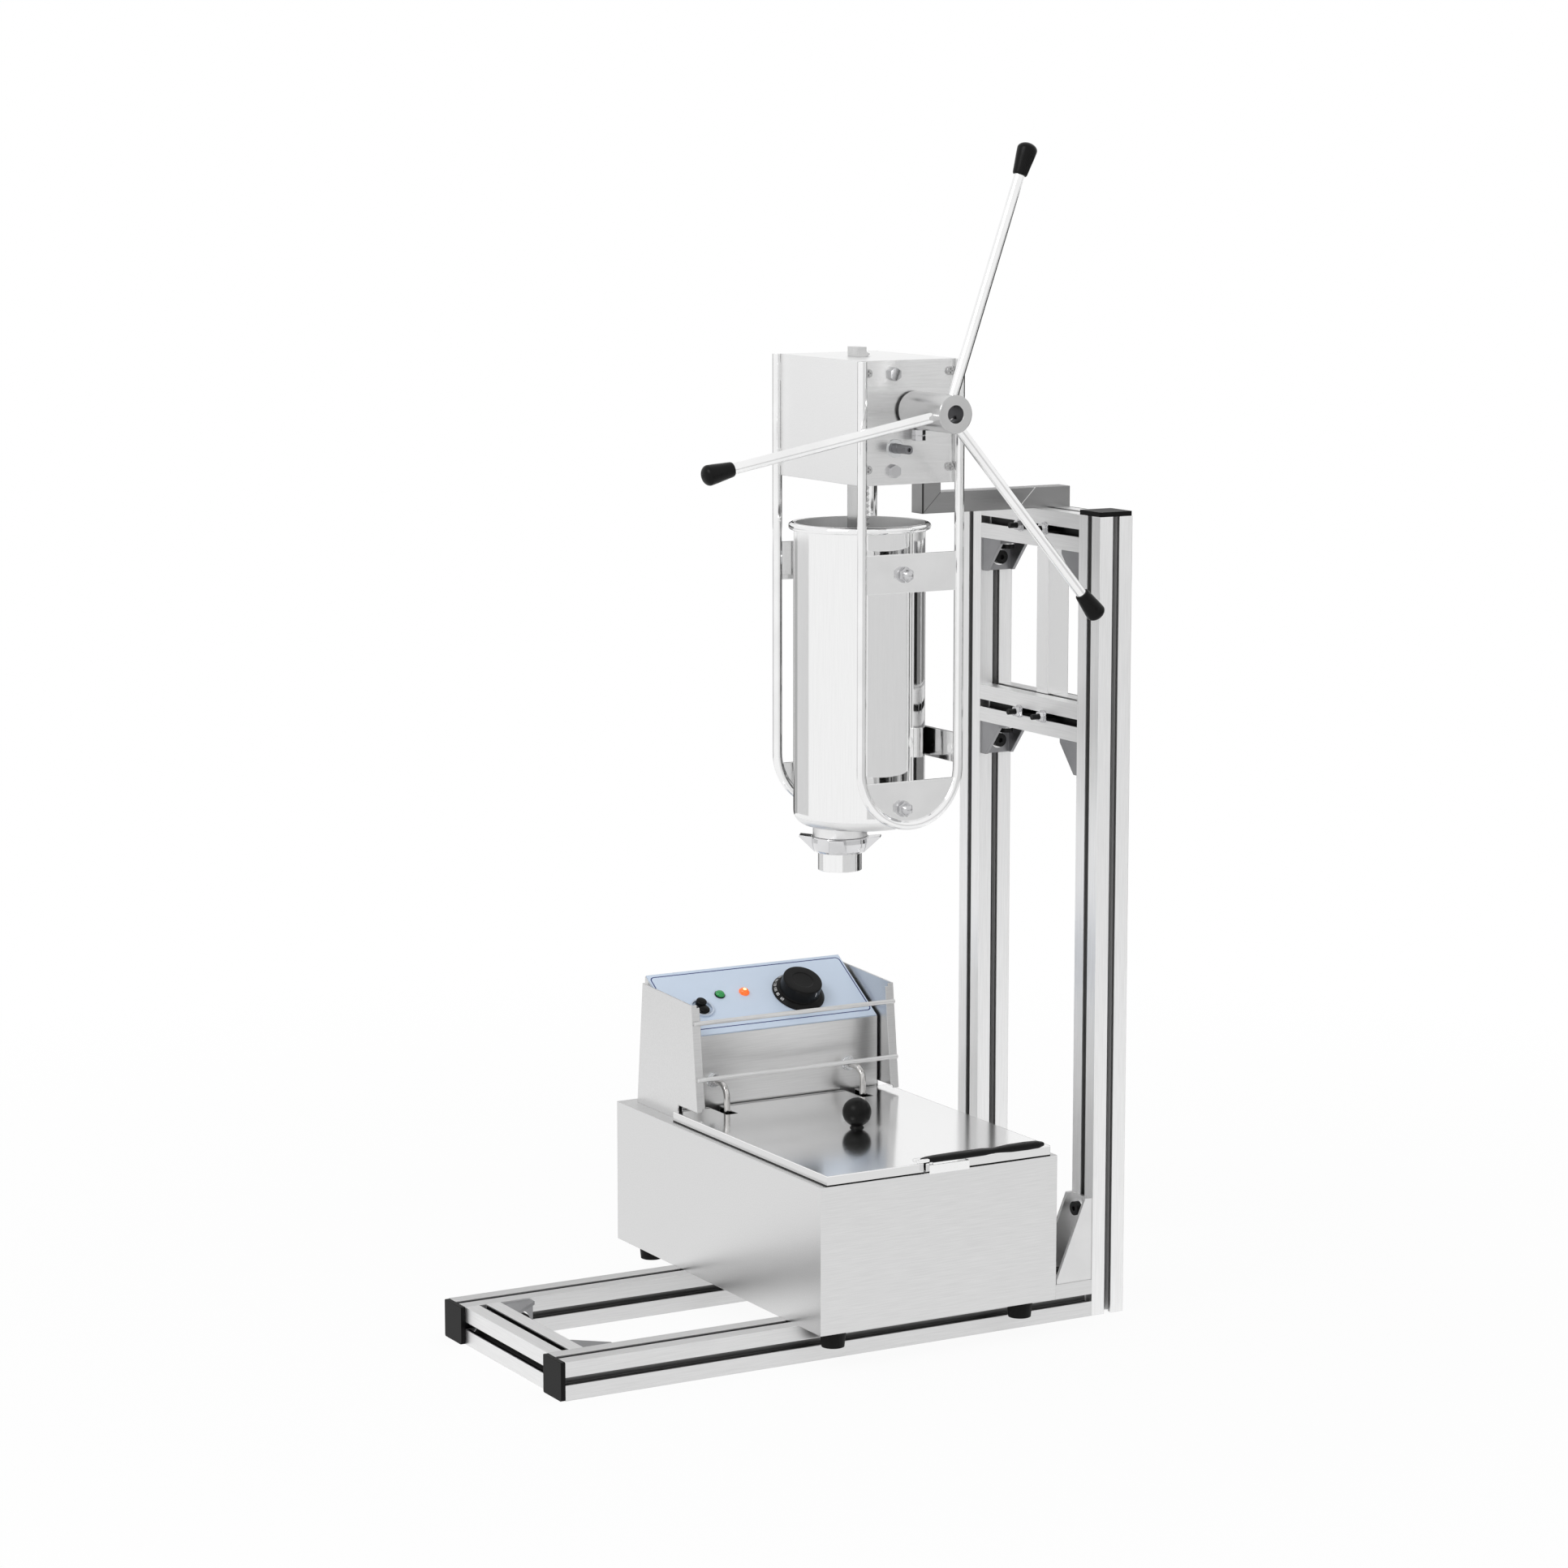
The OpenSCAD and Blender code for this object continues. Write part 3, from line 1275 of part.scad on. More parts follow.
module lid() translate(home) color("whitesmoke") difference() {
    box([lid_x0, lid_y0, lid_z0], [lid_x1, lid_y1, lid_z1]);
    box([lid_x0 + sheet, lid_y0 + sheet, lid_z0 - cut],
        [lid_x1 - sheet, lid_y1 - sheet, lid_z1 - sheet]);
    box([lid_x1 - lid_notch_depth, notch_y0, lid_z0 - cut],
        [lid_x1 + cut, notch_y1, lid_z1 + cut]);
    for (y = [element_y0, element_y1])
        box([lid_x0 - cut, y - element_d, lid_z0 - cut],
            [lid_x0 + lid_slot_length, y + element_d, lid_z1 + cut]);
    rod_z(lid_z1 - 2 * sheet, lid_z1 + cut, ball_x, ball_y, screw_thread / 2 + fit);
}

module lid_knob() translate(home) color("black") {
    translate([ball_x, ball_y, lid_z1 + ball_rise]) sphere(d = ball_d);
    rod_z(lid_z1, lid_z1 + ball_rise, ball_x, ball_y, ball_d / 4 - rim);
    rod_z(lid_z1 - sheet - cut, lid_z1 + cut, ball_x, ball_y, screw_thread / 2);
    rod_z(lid_z1 - sheet - screw_head_height, lid_z1 - sheet, ball_x, ball_y,
          screw_head / 2);
}

// basket: wires are rods with ball joints

module wire_loop(z, r) {
    for (x = [basket_x0, basket_x1]) rod_y(basket_y0, basket_y1, x, z, r);
    for (y = [basket_y0, basket_y1]) rod_x(basket_x0, basket_x1, y, z, r);
    for (x = [basket_x0, basket_x1], y = [basket_y0, basket_y1])
        translate([x, y, z]) sphere(r);
}

module basket() translate(home) color("lightgray") {
    wire_loop(basket_z1, rim_wire / 2);
    wire_loop(basket_z0, rim_wire / 2);
    for (i = [1:mesh_cross]) {
        x = basket_x0 + (basket_x1 - basket_x0) * i / (mesh_cross + 1);
        rod_y(basket_y0, basket_y1, x, basket_z0, mesh_wire / 2);
        for (y = [basket_y0, basket_y1]) rod_z(basket_z0, basket_z1, x, y, mesh_wire / 2);
    }
    for (i = [1:mesh_long]) {
        y = basket_y0 + (basket_y1 - basket_y0) * i / (mesh_long + 1);
        rod_x(basket_x0, basket_x1, y, basket_z0, mesh_wire / 2);
        for (x = [basket_x0, basket_x1]) rod_z(basket_z0, basket_z1, x, y, mesh_wire / 2);
    }
    // wires over the tank's flange: hooks on the left, the handle's bridge on the right
    for (y = [pivot_y, notch_y1 - pivot_inset]) {
        for (x = [basket_x0, basket_x1]) {
            rod_z(basket_z1, bridge_z, x, y, rim_wire / 2);
            translate([x, y, bridge_z]) sphere(rim_wire / 2);
        }
        rod_x(basket_x1, pivot_x, y, bridge_z, rim_wire / 2);
        rod_x(tank_x0 - tank_flange / 2, basket_x0, y, bridge_z, rim_wire / 2);
    }
    box([pivot_x - rim_wire, pivot_y - rim_wire, bridge_z - rim_wire / 2],
        [pivot_x + rim_wire, notch_y1 - pivot_inset + rim_wire, lid_z1 - air]);
    rod_z(bridge_z, handle_z1 - handle_thickness / 4, pivot_x, pivot_y, pivot_d / 2);
}

// handle lying along Y, turning on the upright pin
grip_y0 = pivot_y - handle_width / 2 - handle_stub;
grip_y1 = grip_y0 + handle_length;
waist_share = 0.58;
waist_y = grip_y0 + handle_length * waist_share;

module basket_handle() translate(home) color("black") difference() {
    union() {
        round_slab(pivot_x - handle_width / 2, pivot_x + handle_width / 2, grip_y0,
                   waist_y, handle_z0, handle_z1, handle_width / 2 - rim);
        round_slab(pivot_x - handle_width / 2, pivot_x + handle_width / 2,
                   waist_y - handle_width / 3, grip_y1, handle_z0, handle_z1,
                   handle_width / 2 - rim);
        for (side = [-1, 1]) rod_y(grip_y0 - handle_stub, grip_y0 + handle_width,
            pivot_x + side * handle_width / 4, (handle_z0 + handle_z1) / 2,
            rim_wire / 2);
    }
    rod_z(handle_z0 - cut, handle_z1 - handle_thickness / 4 + air, pivot_x, pivot_y,
          pivot_d / 2 + running_play);
    rod_z(handle_z0 - cut, handle_z1 + cut, pivot_x, waist_y + handle_width / 2,
          handle_width / 5);
}

// heating element

// quarter bend: from the direction of its start to the turned one
module bend(r) rotate_extrude(angle = 90) translate([r, 0]) circle(element_r);

element_x0 = element_down;

module element_riser(y) {
    rod_x(head_x1 - element_bend, element_x0 - element_bend, y, element_z, element_r);
    translate([element_x0 - element_bend, y, element_z - element_bend])
        rotate([90, 0, 0]) bend(element_bend);
    rod_z(element_low + element_bend, element_z - element_bend, element_x0, y, element_r);
    translate([element_x0 + element_bend, y, element_low + element_bend])
        rotate([90, 0, 180]) mirror([0, 1, 0]) bend(element_bend);
}

rows = 6;
row_pitch = (element_y1 - element_y0) / (rows - 1);
row_r = row_pitch / 2;

module heating_element() translate(home) color("dimgray") {
    element_riser(element_y0);
    element_riser(element_y1);
    for (i = [0:rows - 1])
        rod_x(i == 0 || i == rows - 1 ? element_x0 + element_bend
                                      : element_x0 + element_bend + row_r + element_row,
              element_end - row_r, element_y0 + i * row_pitch, element_low, element_r);
    for (i = [0:2:rows - 2]) translate([element_end - row_r,
        element_y0 + (i + 0.5) * row_pitch, element_low]) rotate([0, 0, -90])
            rotate_extrude(angle = 180) translate([row_r, 0]) circle(element_r);
    for (i = [1:2:rows - 3]) translate([element_x0 + element_bend + row_r + element_row,
        element_y0 + (i + 0.5) * row_pitch, element_low]) rotate([0, 0, 90])
            rotate_extrude(angle = 180) translate([row_r, 0]) circle(element_r);
}

module element_nuts() translate(home) color("silver") for (y = [element_y0, element_y1]) difference() {
    union() {
        rod_x(head_x1, head_x1 + washer_thickness, y, element_z, element_hex / 2 + rim);
        rod_x(head_x1 + washer_thickness, head_x1 + washer_thickness + element_hex_height,
              y, element_z, element_hex / 2, 6);
    }
    rod_x(head_x1 - cut, head_x1 + 2 * element_hex_height, y, element_z,
          element_r + fit);
}

// control head

head_outer = [[head_x0, head_z0], [head_x1 - guard_sheet, head_z0],
    [head_x1 - guard_sheet, case_z1 + head_lift], [head_x1, case_z1 + head_lift],
    [head_x1, panel_z0], [panel_x0, panel_z1]];
head_inner = [[head_x0 + sheet, head_z0 + sheet],
    [head_x1 - guard_sheet - sheet, head_z0 + sheet],
    [head_x1 - guard_sheet - sheet, panel_z0 - 2 * sheet],
    [panel_x0 + 2 * sheet, panel_z1 - 2 * sheet]];
gland_z = head_z0 + gland_d;

module control_head() translate(home) color("gainsboro") {
    difference() {
        deep(head_y0, head_y1) polygon(head_outer);
        deep(head_y0 + sheet, head_y1 - sheet) polygon(head_inner);
        for (y = [element_y0, element_y1])
            rod_x(head_x1 - element_bend, head_x1 + cut, y, element_z, element_r + fit);
        rod_x(head_x0 - gland_length, head_x0 + gland_d, head_y0 + gland_d, gland_z,
              gland_d / 4);
    }
    difference() {
        rod_x(head_x0 - gland_length, head_x0 + gland_d / 4, head_y0 + gland_d, gland_z,
              gland_d / 2);
        rod_x(head_x0 - gland_length - cut, head_x0 + gland_d, head_y0 + gland_d,
              gland_z, gland_d / 4);
    }
}

// one guard plate with its turned front edge; side is -1 near, 1 far
guard_step_x = head_x1 - guard_gap - guard_sheet;
guard_foot_x = head_x0;
guard_rear_x = panel_x0 + guard_sheet;

module guard(side) {
    y0 = side < 0 ? guard_y0 : guard_y1 - guard_sheet;
    inner = side < 0 ? guard_y0 + guard_flange : guard_y1;
    deep(y0, y0 + guard_sheet) polygon([[guard_foot_x, head_z0],
        [guard_step_x, head_z0], [guard_step_x, guard_low[1]], guard_low, guard_top,
        [guard_rear_x, case_z1 + guard_rear_top]]);
    translate([guard_low[0], 0, guard_low[1]]) rotate([0, -guard_lean, 0])
        difference() {
            box([-guard_sheet, inner - guard_flange, 0], [0, inner, guard_edge]);
            for (z = [0, guard_edge]) translate([0, 0, z])
                box([-guard_flange, side < 0 ? inner - guard_flange / 3 : guard_y1 - cut
                     - guard_flange, -guard_flange / 3],
                    [guard_flange, side < 0 ? inner + cut : inner - guard_flange
                     + guard_flange / 3, guard_flange / 3]);
        }
    // distance pieces between the head and the plate
    for (z = [head_z0 + gland_d, panel_z0 - gland_d])
        rod_y(side < 0 ? guard_y0 + guard_sheet - rim : head_y1,
              side < 0 ? head_y0 : guard_y1 - guard_sheet + rim,
              (head_x0 + head_x1) / 2, z, screw_head / 2);
}

// guard rods lie on the front of the turned edges
function rod_at(drop) = [guard_top[0] + sin(guard_lean) * drop
    + cos(guard_lean) * guard_rod / 2, guard_top[1] - cos(guard_lean) * drop
    + sin(guard_lean) * guard_rod / 2];

module guard_plates() translate(home) color("gainsboro") {
    guard(-1);
    guard(1);
    for (d = [guard_rod_high, guard_rod_low])
        rod_y(guard_y0 + guard_sheet, guard_y1 - guard_sheet, rod_at(d)[0],
              rod_at(d)[1] , guard_rod / 2);
}

// children on the panel: X runs down the slope, Y along the head, Z out of it
module on_panel() translate(panel_mid) rotate([0, panel_tilt, 0]) children();

panel_y = head_length / 2 - rim;
panel_x = panel_half - rim;

module control_panel() translate(home) color("lightsteelblue") on_panel() difference() {
    box([-panel_x, -panel_y, 0], [panel_x, panel_y, panel_thickness]);
    rod_z(-cut, panel_thickness + cut, knob_down, knob_along, slow_r + running_play);
    for (y = [lamp_green, lamp_orange])
        rod_z(-cut, panel_thickness + cut, -lamp_up, y, lamp_d / 3);
    rod_z(-cut, panel_thickness + cut, switch_down, switch_along, switch_d / 3);
}

knob_z = panel_thickness + air;

module thermostat_knob() translate(home) color("black") on_panel() translate([knob_down, knob_along, 0])
    difference() {
        union() {
            translate([0, 0, knob_z]) cylinder(h = dial_height, d1 = dial_d,
                                               d2 = knob_d + rim_wire);
            translate([0, 0, knob_z + dial_height])
                cylinder(h = knob_height, d1 = knob_d, d2 = knob_d - rim_wire / 2);
            rod_z(0, knob_z + cut, 0, 0, slow_r);
        }
        rod_z(knob_z + dial_height + knob_height - rim, knob_z + dial_height
              + knob_height + cut, 0, 0, knob_d / 4);
    }

lobe_share = 0.42;
lobe_height_shares = [0.55, 0.35];
rocker_z = 3.4;
rocker_pin_d = 3;

// two-lobed rocker on a pivot that runs along the head
module power_switch() translate(home) color("black") on_panel() translate([switch_down, switch_along, 0]) {
    rod_y(-lobe_d * lobe_share, lobe_d * lobe_share, 0, rocker_z, rocker_pin_d / 2);
    box([-lobe_d * lobe_share, -lobe_d / 4, panel_thickness + switch_height / 2],
        [lobe_d * lobe_share, lobe_d / 4, panel_thickness + 2 * switch_height]);
    for (i = [0, 1]) translate([lobe_d * lobe_share * (2 * i - 1), 0,
                                panel_thickness + switch_height])
        cylinder(h = lobe_d * lobe_height_shares[i], d = lobe_d);
}

module switch_ring() translate(home) color("black") on_panel() translate([switch_down, switch_along, 0])
    ring_z(panel_thickness, panel_thickness + switch_height, 0, 0, switch_d / 2,
           switch_d / 2 - rim_wire / 2);

module lamp(y) on_panel() translate([-lamp_up, y, panel_thickness]) {
    cylinder(h = lamp_height / 2, d = lamp_d);
    translate([0, 0, lamp_height / 2])
        cylinder(h = lamp_height / 2, d1 = lamp_d - rim, d2 = lamp_d / 2 + rim);
}

module green_lamp() translate(home) color("green") lamp(lamp_green);
module orange_lamp() translate(home) color("orange") lamp(lamp_orange);

rail_right();
rail_left();
front_beam();
upright_right();
upright_left();
upper_cross_beam();
lower_cross_beam();
end_caps();
corner_brackets();
foot_brackets();
bracket_bolts();
bracket_washers();
slot_nuts();
support_arm();
clamp_nuts();
arm_bolts();
gearbox_shell();
gearbox_right_plate();
gearbox_left_plate();
plate_screws();
rack_guide();
tie_bolts();
shaft_bushes();
side_frame_right();
side_frame_left();
rear_band();
barrel();
barrel_studs();
cap_nuts();
main_shaft();
main_gear();
spoke_hub();
spokes();
spoke_grips();
hub_lock_bolt();
slow_shaft();
rack();
piston();
piston_seal();
piston_nut();
gasket();
nozzle();
wing_nut();
fryer_case();
fryer_tank();
fryer_feet();
lid();
lid_knob();
basket();
basket_handle();
heating_element();
element_nuts();
control_head();
guard_plates();
control_panel();
thermostat_knob();
power_switch();
switch_ring();
green_lamp();
orange_lamp();
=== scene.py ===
# %% [markdown]
# # A churro maker, piece by piece
#
# A stand of slotted aluminium profile carries a hand-driven press. Under its
# nozzle, a counter-top fryer rests on the stand's two rails. The solids come
# ready-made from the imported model, so this lesson is about what they look
# like: finishes for metal, plastic and rubber, and round pieces whose soft
# edges a plain solid doesn't have.

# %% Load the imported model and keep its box
import json
import math

import bmesh
import bpy
import numpy as np
from mathutils import Matrix, Vector


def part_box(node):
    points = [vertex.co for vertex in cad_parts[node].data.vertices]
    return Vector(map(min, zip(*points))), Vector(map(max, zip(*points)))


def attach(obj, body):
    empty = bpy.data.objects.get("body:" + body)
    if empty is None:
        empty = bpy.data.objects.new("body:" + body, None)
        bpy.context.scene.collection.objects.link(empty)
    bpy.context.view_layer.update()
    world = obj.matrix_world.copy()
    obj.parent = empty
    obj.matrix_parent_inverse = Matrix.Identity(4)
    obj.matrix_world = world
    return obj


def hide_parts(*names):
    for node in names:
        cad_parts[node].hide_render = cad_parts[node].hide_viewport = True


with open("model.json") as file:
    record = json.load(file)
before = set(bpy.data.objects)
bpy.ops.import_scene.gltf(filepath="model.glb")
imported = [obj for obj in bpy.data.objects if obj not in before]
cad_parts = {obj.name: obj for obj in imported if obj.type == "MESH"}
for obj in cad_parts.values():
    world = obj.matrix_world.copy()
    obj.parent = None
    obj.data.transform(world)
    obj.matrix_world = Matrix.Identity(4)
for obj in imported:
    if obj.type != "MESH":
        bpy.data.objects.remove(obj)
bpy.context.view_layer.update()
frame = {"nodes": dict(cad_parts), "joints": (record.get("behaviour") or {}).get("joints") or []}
nodes = frame["nodes"]

# %% [markdown]
# ## Small helpers for surfaces
#
# A round piece is a profile carried round an axis, and a bent piece is a
# profile carried along a path. Both are a grid of points worked out in one
# go with numpy. Where a row of the grid shrinks to one point, the doubles
# are merged, so that every pole is closed.

# %% A grid of points becomes a mesh object
MM = 0.001


def surface(name, grid, close_u=False, close_v=False, sharp=40):
    """Object from a grid of points in metres. Each face joins four neighbours:
    (i, j), (i + 1, j), (i + 1, j + 1), (i, j + 1), counted round where the
    grid closes. Edges that fold by more than sharp degrees stay crisp."""
    rows, cols = grid.shape[:2]
    i = np.arange(rows if close_u else rows - 1)
    j = np.arange(cols if close_v else cols - 1)
    i, j = (a.ravel() for a in np.meshgrid(i, j, indexing="ij"))
    i2, j2 = (i + 1) % rows, (j + 1) % cols
    faces = np.stack([i * cols + j, i2 * cols + j, i2 * cols + j2, i * cols + j2], 1)
    mesh = bpy.data.meshes.new(name)
    mesh.from_pydata(grid.reshape(-1, 3).tolist(), [], faces.tolist())
    bm = bmesh.new()
    bm.from_mesh(mesh)
    bmesh.ops.remove_doubles(bm, verts=bm.verts, dist=1e-6)
    bmesh.ops.recalc_face_normals(bm, faces=bm.faces)
    bm.to_mesh(mesh)
    bm.free()
    mesh.polygons.foreach_set("use_smooth", np.ones(len(mesh.polygons), bool))
    mesh.set_sharp_from_angle(angle=math.radians(sharp))
    piece = bpy.data.objects.new(name, mesh)
    bpy.context.scene.collection.objects.link(piece)
    return piece


def axes_of(direction):
    """Three unit vectors: two across the direction, and the direction."""
    w = np.asarray(direction, float) / np.linalg.norm(direction)
    u = np.cross(w, [0.0, 0.0, 1.0] if abs(w[2]) < 0.9 else [1.0, 0.0, 0.0])
    u /= np.linalg.norm(u)
    return u, np.cross(w, u), w


def turned(name, profile, centre, direction, steps=64, sharp=40):
    """Profile of (radius, height) pairs in millimetres, turned round an axis:
    point = centre + height * w + radius * (cos t * u + sin t * v)."""
    u, v, w = axes_of(direction)
    r, h = np.asarray(profile, float).T * MM
    t = np.linspace(0, 2 * np.pi, steps, endpoint=False)
    ring = np.cos(t)[:, None] * u + np.sin(t)[:, None] * v
    grid = (np.asarray(centre) + h[:, None, None] * w
            + r[:, None, None] * ring[None, :, :])
    return surface(name, grid, close_v=True, sharp=sharp)


def arc(centre, radius, start, end, steps=10):
    """Points of (radius, height) on a circle from start to end degrees."""
    a = np.radians(np.linspace(start, end, steps))
    return np.stack([centre[0] + radius * np.cos(a), centre[1] + radius * np.sin(a)], 1)


def rounded(profile, radius, steps=6):
    """The profile with each inner corner cut back by radius along both sides
    and filled with a curve: (1-t)^2 a + 2t(1-t) corner + t^2 b."""
    p = np.asarray(profile, float)
    out = [p[:1]]
    t = np.linspace(0, 1, steps)[:, None]
    for a, b, c in zip(p[:-2], p[1:-1], p[2:]):
        la, lc = np.linalg.norm(a - b), np.linalg.norm(c - b)
        k = min(radius, la / 2, lc / 2)
        start, end = b + (a - b) * k / la, b + (c - b) * k / lc
        out.append((1 - t) ** 2 * start + 2 * t * (1 - t) * b + t ** 2 * end)
    return np.concatenate(out + [p[-1:]])


# %% [markdown]
# ## Finishes
#
# Most of the machine is bare metal. What tells one metal from another is how
# rough it is and which way its fine lines run: drawn profile has lines along
# its length, brushed sheet has them across the face, a cast bracket has
# grain. Each finish is one small node tree on Object coordinates, so nothing
# stretches or swims when a joint moves.

# %% A finish made of a base colour, fine lines and grain
EDGE_RADIUS = 0.9 * MM


def finish(name, colour, metal=1.0, rough=0.3, lines=None, depth=0.0, grain=0.0,
           grain_scale=900.0, vary=0.04, **constants):
    """Principled surface. lines is a stretch per axis for noise that turns
    into fine lines: a small number along an axis draws the noise out along
    it. depth is the bump of these lines, grain that of an even grain, and
    vary is the share by which the colour strays to either side."""
    material = bpy.data.materials.new(name)
    material.use_nodes = True
    tree = material.node_tree
    shader = tree.nodes["Principled BSDF"]
    shader.inputs["Metallic"].default_value = metal
    shader.inputs["Roughness"].default_value = rough
    for key, value in constants.items():
        shader.inputs[key.replace("_", " ")].default_value = value
    place = tree.nodes.new("ShaderNodeTexCoord")
    stretch = tree.nodes.new("ShaderNodeMapping")
    stretch.inputs["Scale"].default_value = lines or (1.0, 1.0, 1.0)
    noise = tree.nodes.new("ShaderNodeTexNoise")
    noise.inputs["Scale"].default_value = 60.0 if lines else 25.0
    noise.inputs["Detail"].default_value = 4.0
    tree.links.new(place.outputs["Object"], stretch.inputs["Vector"])
    tree.links.new(stretch.outputs["Vector"], noise.inputs["Vector"])
    tone = tree.nodes.new("ShaderNodeValToRGB")
    low = [c * (1 - vary) for c in colour]
    high = [min(1.0, c * (1 + vary)) for c in colour]
    tone.color_ramp.elements[0].position = 0.3
    tone.color_ramp.elements[0].color = (*low, 1)
    tone.color_ramp.elements[1].position = 0.7
    tone.color_ramp.elements[1].color = (*high, 1)
    tree.links.new(noise.outputs["Fac"], tone.inputs["Fac"])
    tree.links.new(tone.outputs["Color"], shader.inputs["Base Color"])
    edge = tree.nodes.new("ShaderNodeBevel")
    edge.samples = 4
    edge.inputs["Radius"].default_value = EDGE_RADIUS
    tree.links.new(edge.outputs["Normal"], shader.inputs["Normal"])
    if depth or grain:
        bump = tree.nodes.new("ShaderNodeBump")
        tree.links.new(edge.outputs["Normal"], bump.inputs["Normal"])
        bump.inputs["Strength"].default_value = depth or grain
        bump.inputs["Distance"].default_value = 0.0002
        source = noise
        if grain:
            source = tree.nodes.new("ShaderNodeTexNoise")
            source.inputs["Scale"].default_value = grain_scale
            source.inputs["Detail"].default_value = 3.0
            tree.links.new(place.outputs["Object"], source.inputs["Vector"])
        tree.links.new(source.outputs["Fac"], bump.inputs["Height"])
        tree.links.new(bump.outputs["Normal"], shader.inputs["Normal"])
    return material


# %% [markdown]
# ## The finishes of this machine
#
# The stand is drawn aluminium, the press and the fryer are stainless steel,
# the brackets are cast and the knobs are moulded plastic. One image of each
# could be wrapped round the pieces, but plain numbers are easier to keep: a
# base colour, a roughness, and the way the fine lines run.

# %% The finishes of this machine
ALONG_X, ALONG_Y, ALONG_Z = (0.4, 12, 12), (12, 0.4, 12), (12, 12, 0.4)
ACROSS = (14, 0.5, 14)
cap_black = finish("cap_black", (0.006, 0.006, 0.006), metal=0.0, rough=0.42, grain=0.1,
                   Specular_IOR_Level=0.1)
die_cast = finish("die_cast", (0.33, 0.33, 0.34), rough=0.45, grain=0.3, vary=0.1)
die_bright = finish("die_bright", (0.80, 0.80, 0.80), rough=0.40, grain=0.2)
black_bolt = finish("black_bolt", (0.008, 0.008, 0.008), metal=0.0, rough=0.38,
                    Specular_IOR_Level=0.2)
zinc = finish("zinc", (0.70, 0.71, 0.72), rough=0.2)
arm_steel = finish("arm_steel", (0.29, 0.29, 0.29), rough=0.25, lines=(14, 0.5, 14),
                   depth=0.1)
shell_brushed = finish("shell_brushed", (0.85, 0.85, 0.85), rough=0.28, lines=ACROSS,
                       depth=0.12)
sheet_brushed = finish("sheet_brushed", (0.71, 0.71, 0.71), rough=0.28, lines=ACROSS,
                       depth=0.12)
# painted shade: the shell and the side plates are lit and shaded copies of one brushed steel,
# and the plates' darker grey is painted shade
plate_brushed_shaded = finish("plate_brushed_shaded", (0.76, 0.76, 0.76), rough=0.24,
                       lines=(14, 0.5, 14), depth=0.2)
rod_steel = finish("rod_steel", (0.88, 0.88, 0.88), rough=0.08)
hub_steel = finish("hub_steel", (0.60, 0.60, 0.60), rough=0.24)
zinc_dark = finish("zinc_dark", (0.55, 0.55, 0.56), rough=0.09)
screw_bright = finish("screw_bright", (0.50, 0.50, 0.50), rough=0.12)
washer_bright = finish("washer_bright", (0.92, 0.92, 0.92), rough=0.2)
polished = finish("polished", (0.88, 0.88, 0.88), rough=0.06, lines=ALONG_Z, vary=0.02)
lid_polished = finish("lid_polished", (0.90, 0.90, 0.90), rough=0.13,
                      lines=(0.5, 14, 14), vary=0.02, depth=0.06)
wing_cast = finish("wing_cast", (0.72, 0.72, 0.73), rough=0.07, vary=0.06)
gear_steel = finish("gear_steel", (0.22, 0.22, 0.23), rough=0.35, vary=0.15)
rack_steel = finish("rack_steel", (0.62, 0.62, 0.62), rough=0.22, lines=ALONG_Z, depth=0.1)
seal_white = finish("seal_white", (0.75, 0.75, 0.72), metal=0.0, rough=0.4)
black_plastic = finish("black_plastic", (0.006, 0.006, 0.006), metal=0.0, rough=0.3,
                       Specular_IOR_Level=0.12)
foot_rubber = finish("foot_rubber", (0.006, 0.006, 0.006), metal=0.0, rough=0.6, grain=0.2,
                     Specular_IOR_Level=0.15)
element_bright = finish("element_bright", (0.60, 0.59, 0.58), rough=0.16)
ring_pale = finish("ring_pale", (0.60, 0.68, 0.80), metal=0.0, rough=0.4)
white_mark = finish("white_mark", (0.8, 0.8, 0.8), metal=0.0, rough=0.5)
print(len(bpy.data.materials), "finishes")

# %% [markdown]
# Where a finish differs from place to place, a mask worked out from Object coordinates mixes a
# second colour in. A slotted profile gets painted shade in its slots, so its mask asks how far a
# point lies from the middle of the bar; the arm's post gets painted light, brighter than the
# tube above it.

# %% Masks from the place on a piece
def reckon(tree, operation, *terms):
    """One Math node: each term is a number or another node's output."""
    node = tree.nodes.new("ShaderNodeMath")
    node.operation = operation
    for socket, term in zip(node.inputs, terms):
        if isinstance(term, (int, float)):
            socket.default_value = term
        else:
            tree.links.new(term, socket)
    return node.outputs[0]


def place_from(tree, centre, absolute=False):
    """X, Y and Z outputs of Object coordinates less the centre."""
    place = tree.nodes.new("ShaderNodeTexCoord")
    less = tree.nodes.new("ShaderNodeVectorMath")
    less.operation = "SUBTRACT"
    less.inputs[1].default_value = centre
    tree.links.new(place.outputs["Object"], less.inputs[0])
    result = less
    if absolute:
        result = tree.nodes.new("ShaderNodeVectorMath")
        result.operation = "ABSOLUTE"
        tree.links.new(less.outputs[0], result.inputs[0])
    split = tree.nodes.new("ShaderNodeSeparateXYZ")
    tree.links.new(result.outputs[0], split.inputs[0])
    return split.outputs


def tint(material, mask, colour, socket="Base Color"):
    """Mixes a colour into what the socket had, as far as the mask is one."""
    tree = material.node_tree
    shader = tree.nodes["Principled BSDF"]
    mix = tree.nodes.new("ShaderNodeMix")
    mix.data_type = "RGBA"
    tree.links.new(mask, mix.inputs["Factor"])
    tree.links.new(shader.inputs[socket].links[0].from_socket, mix.inputs[6])
    mix.inputs[7].default_value = (*colour, 1)
    tree.links.new(mix.outputs[2], shader.inputs[socket])
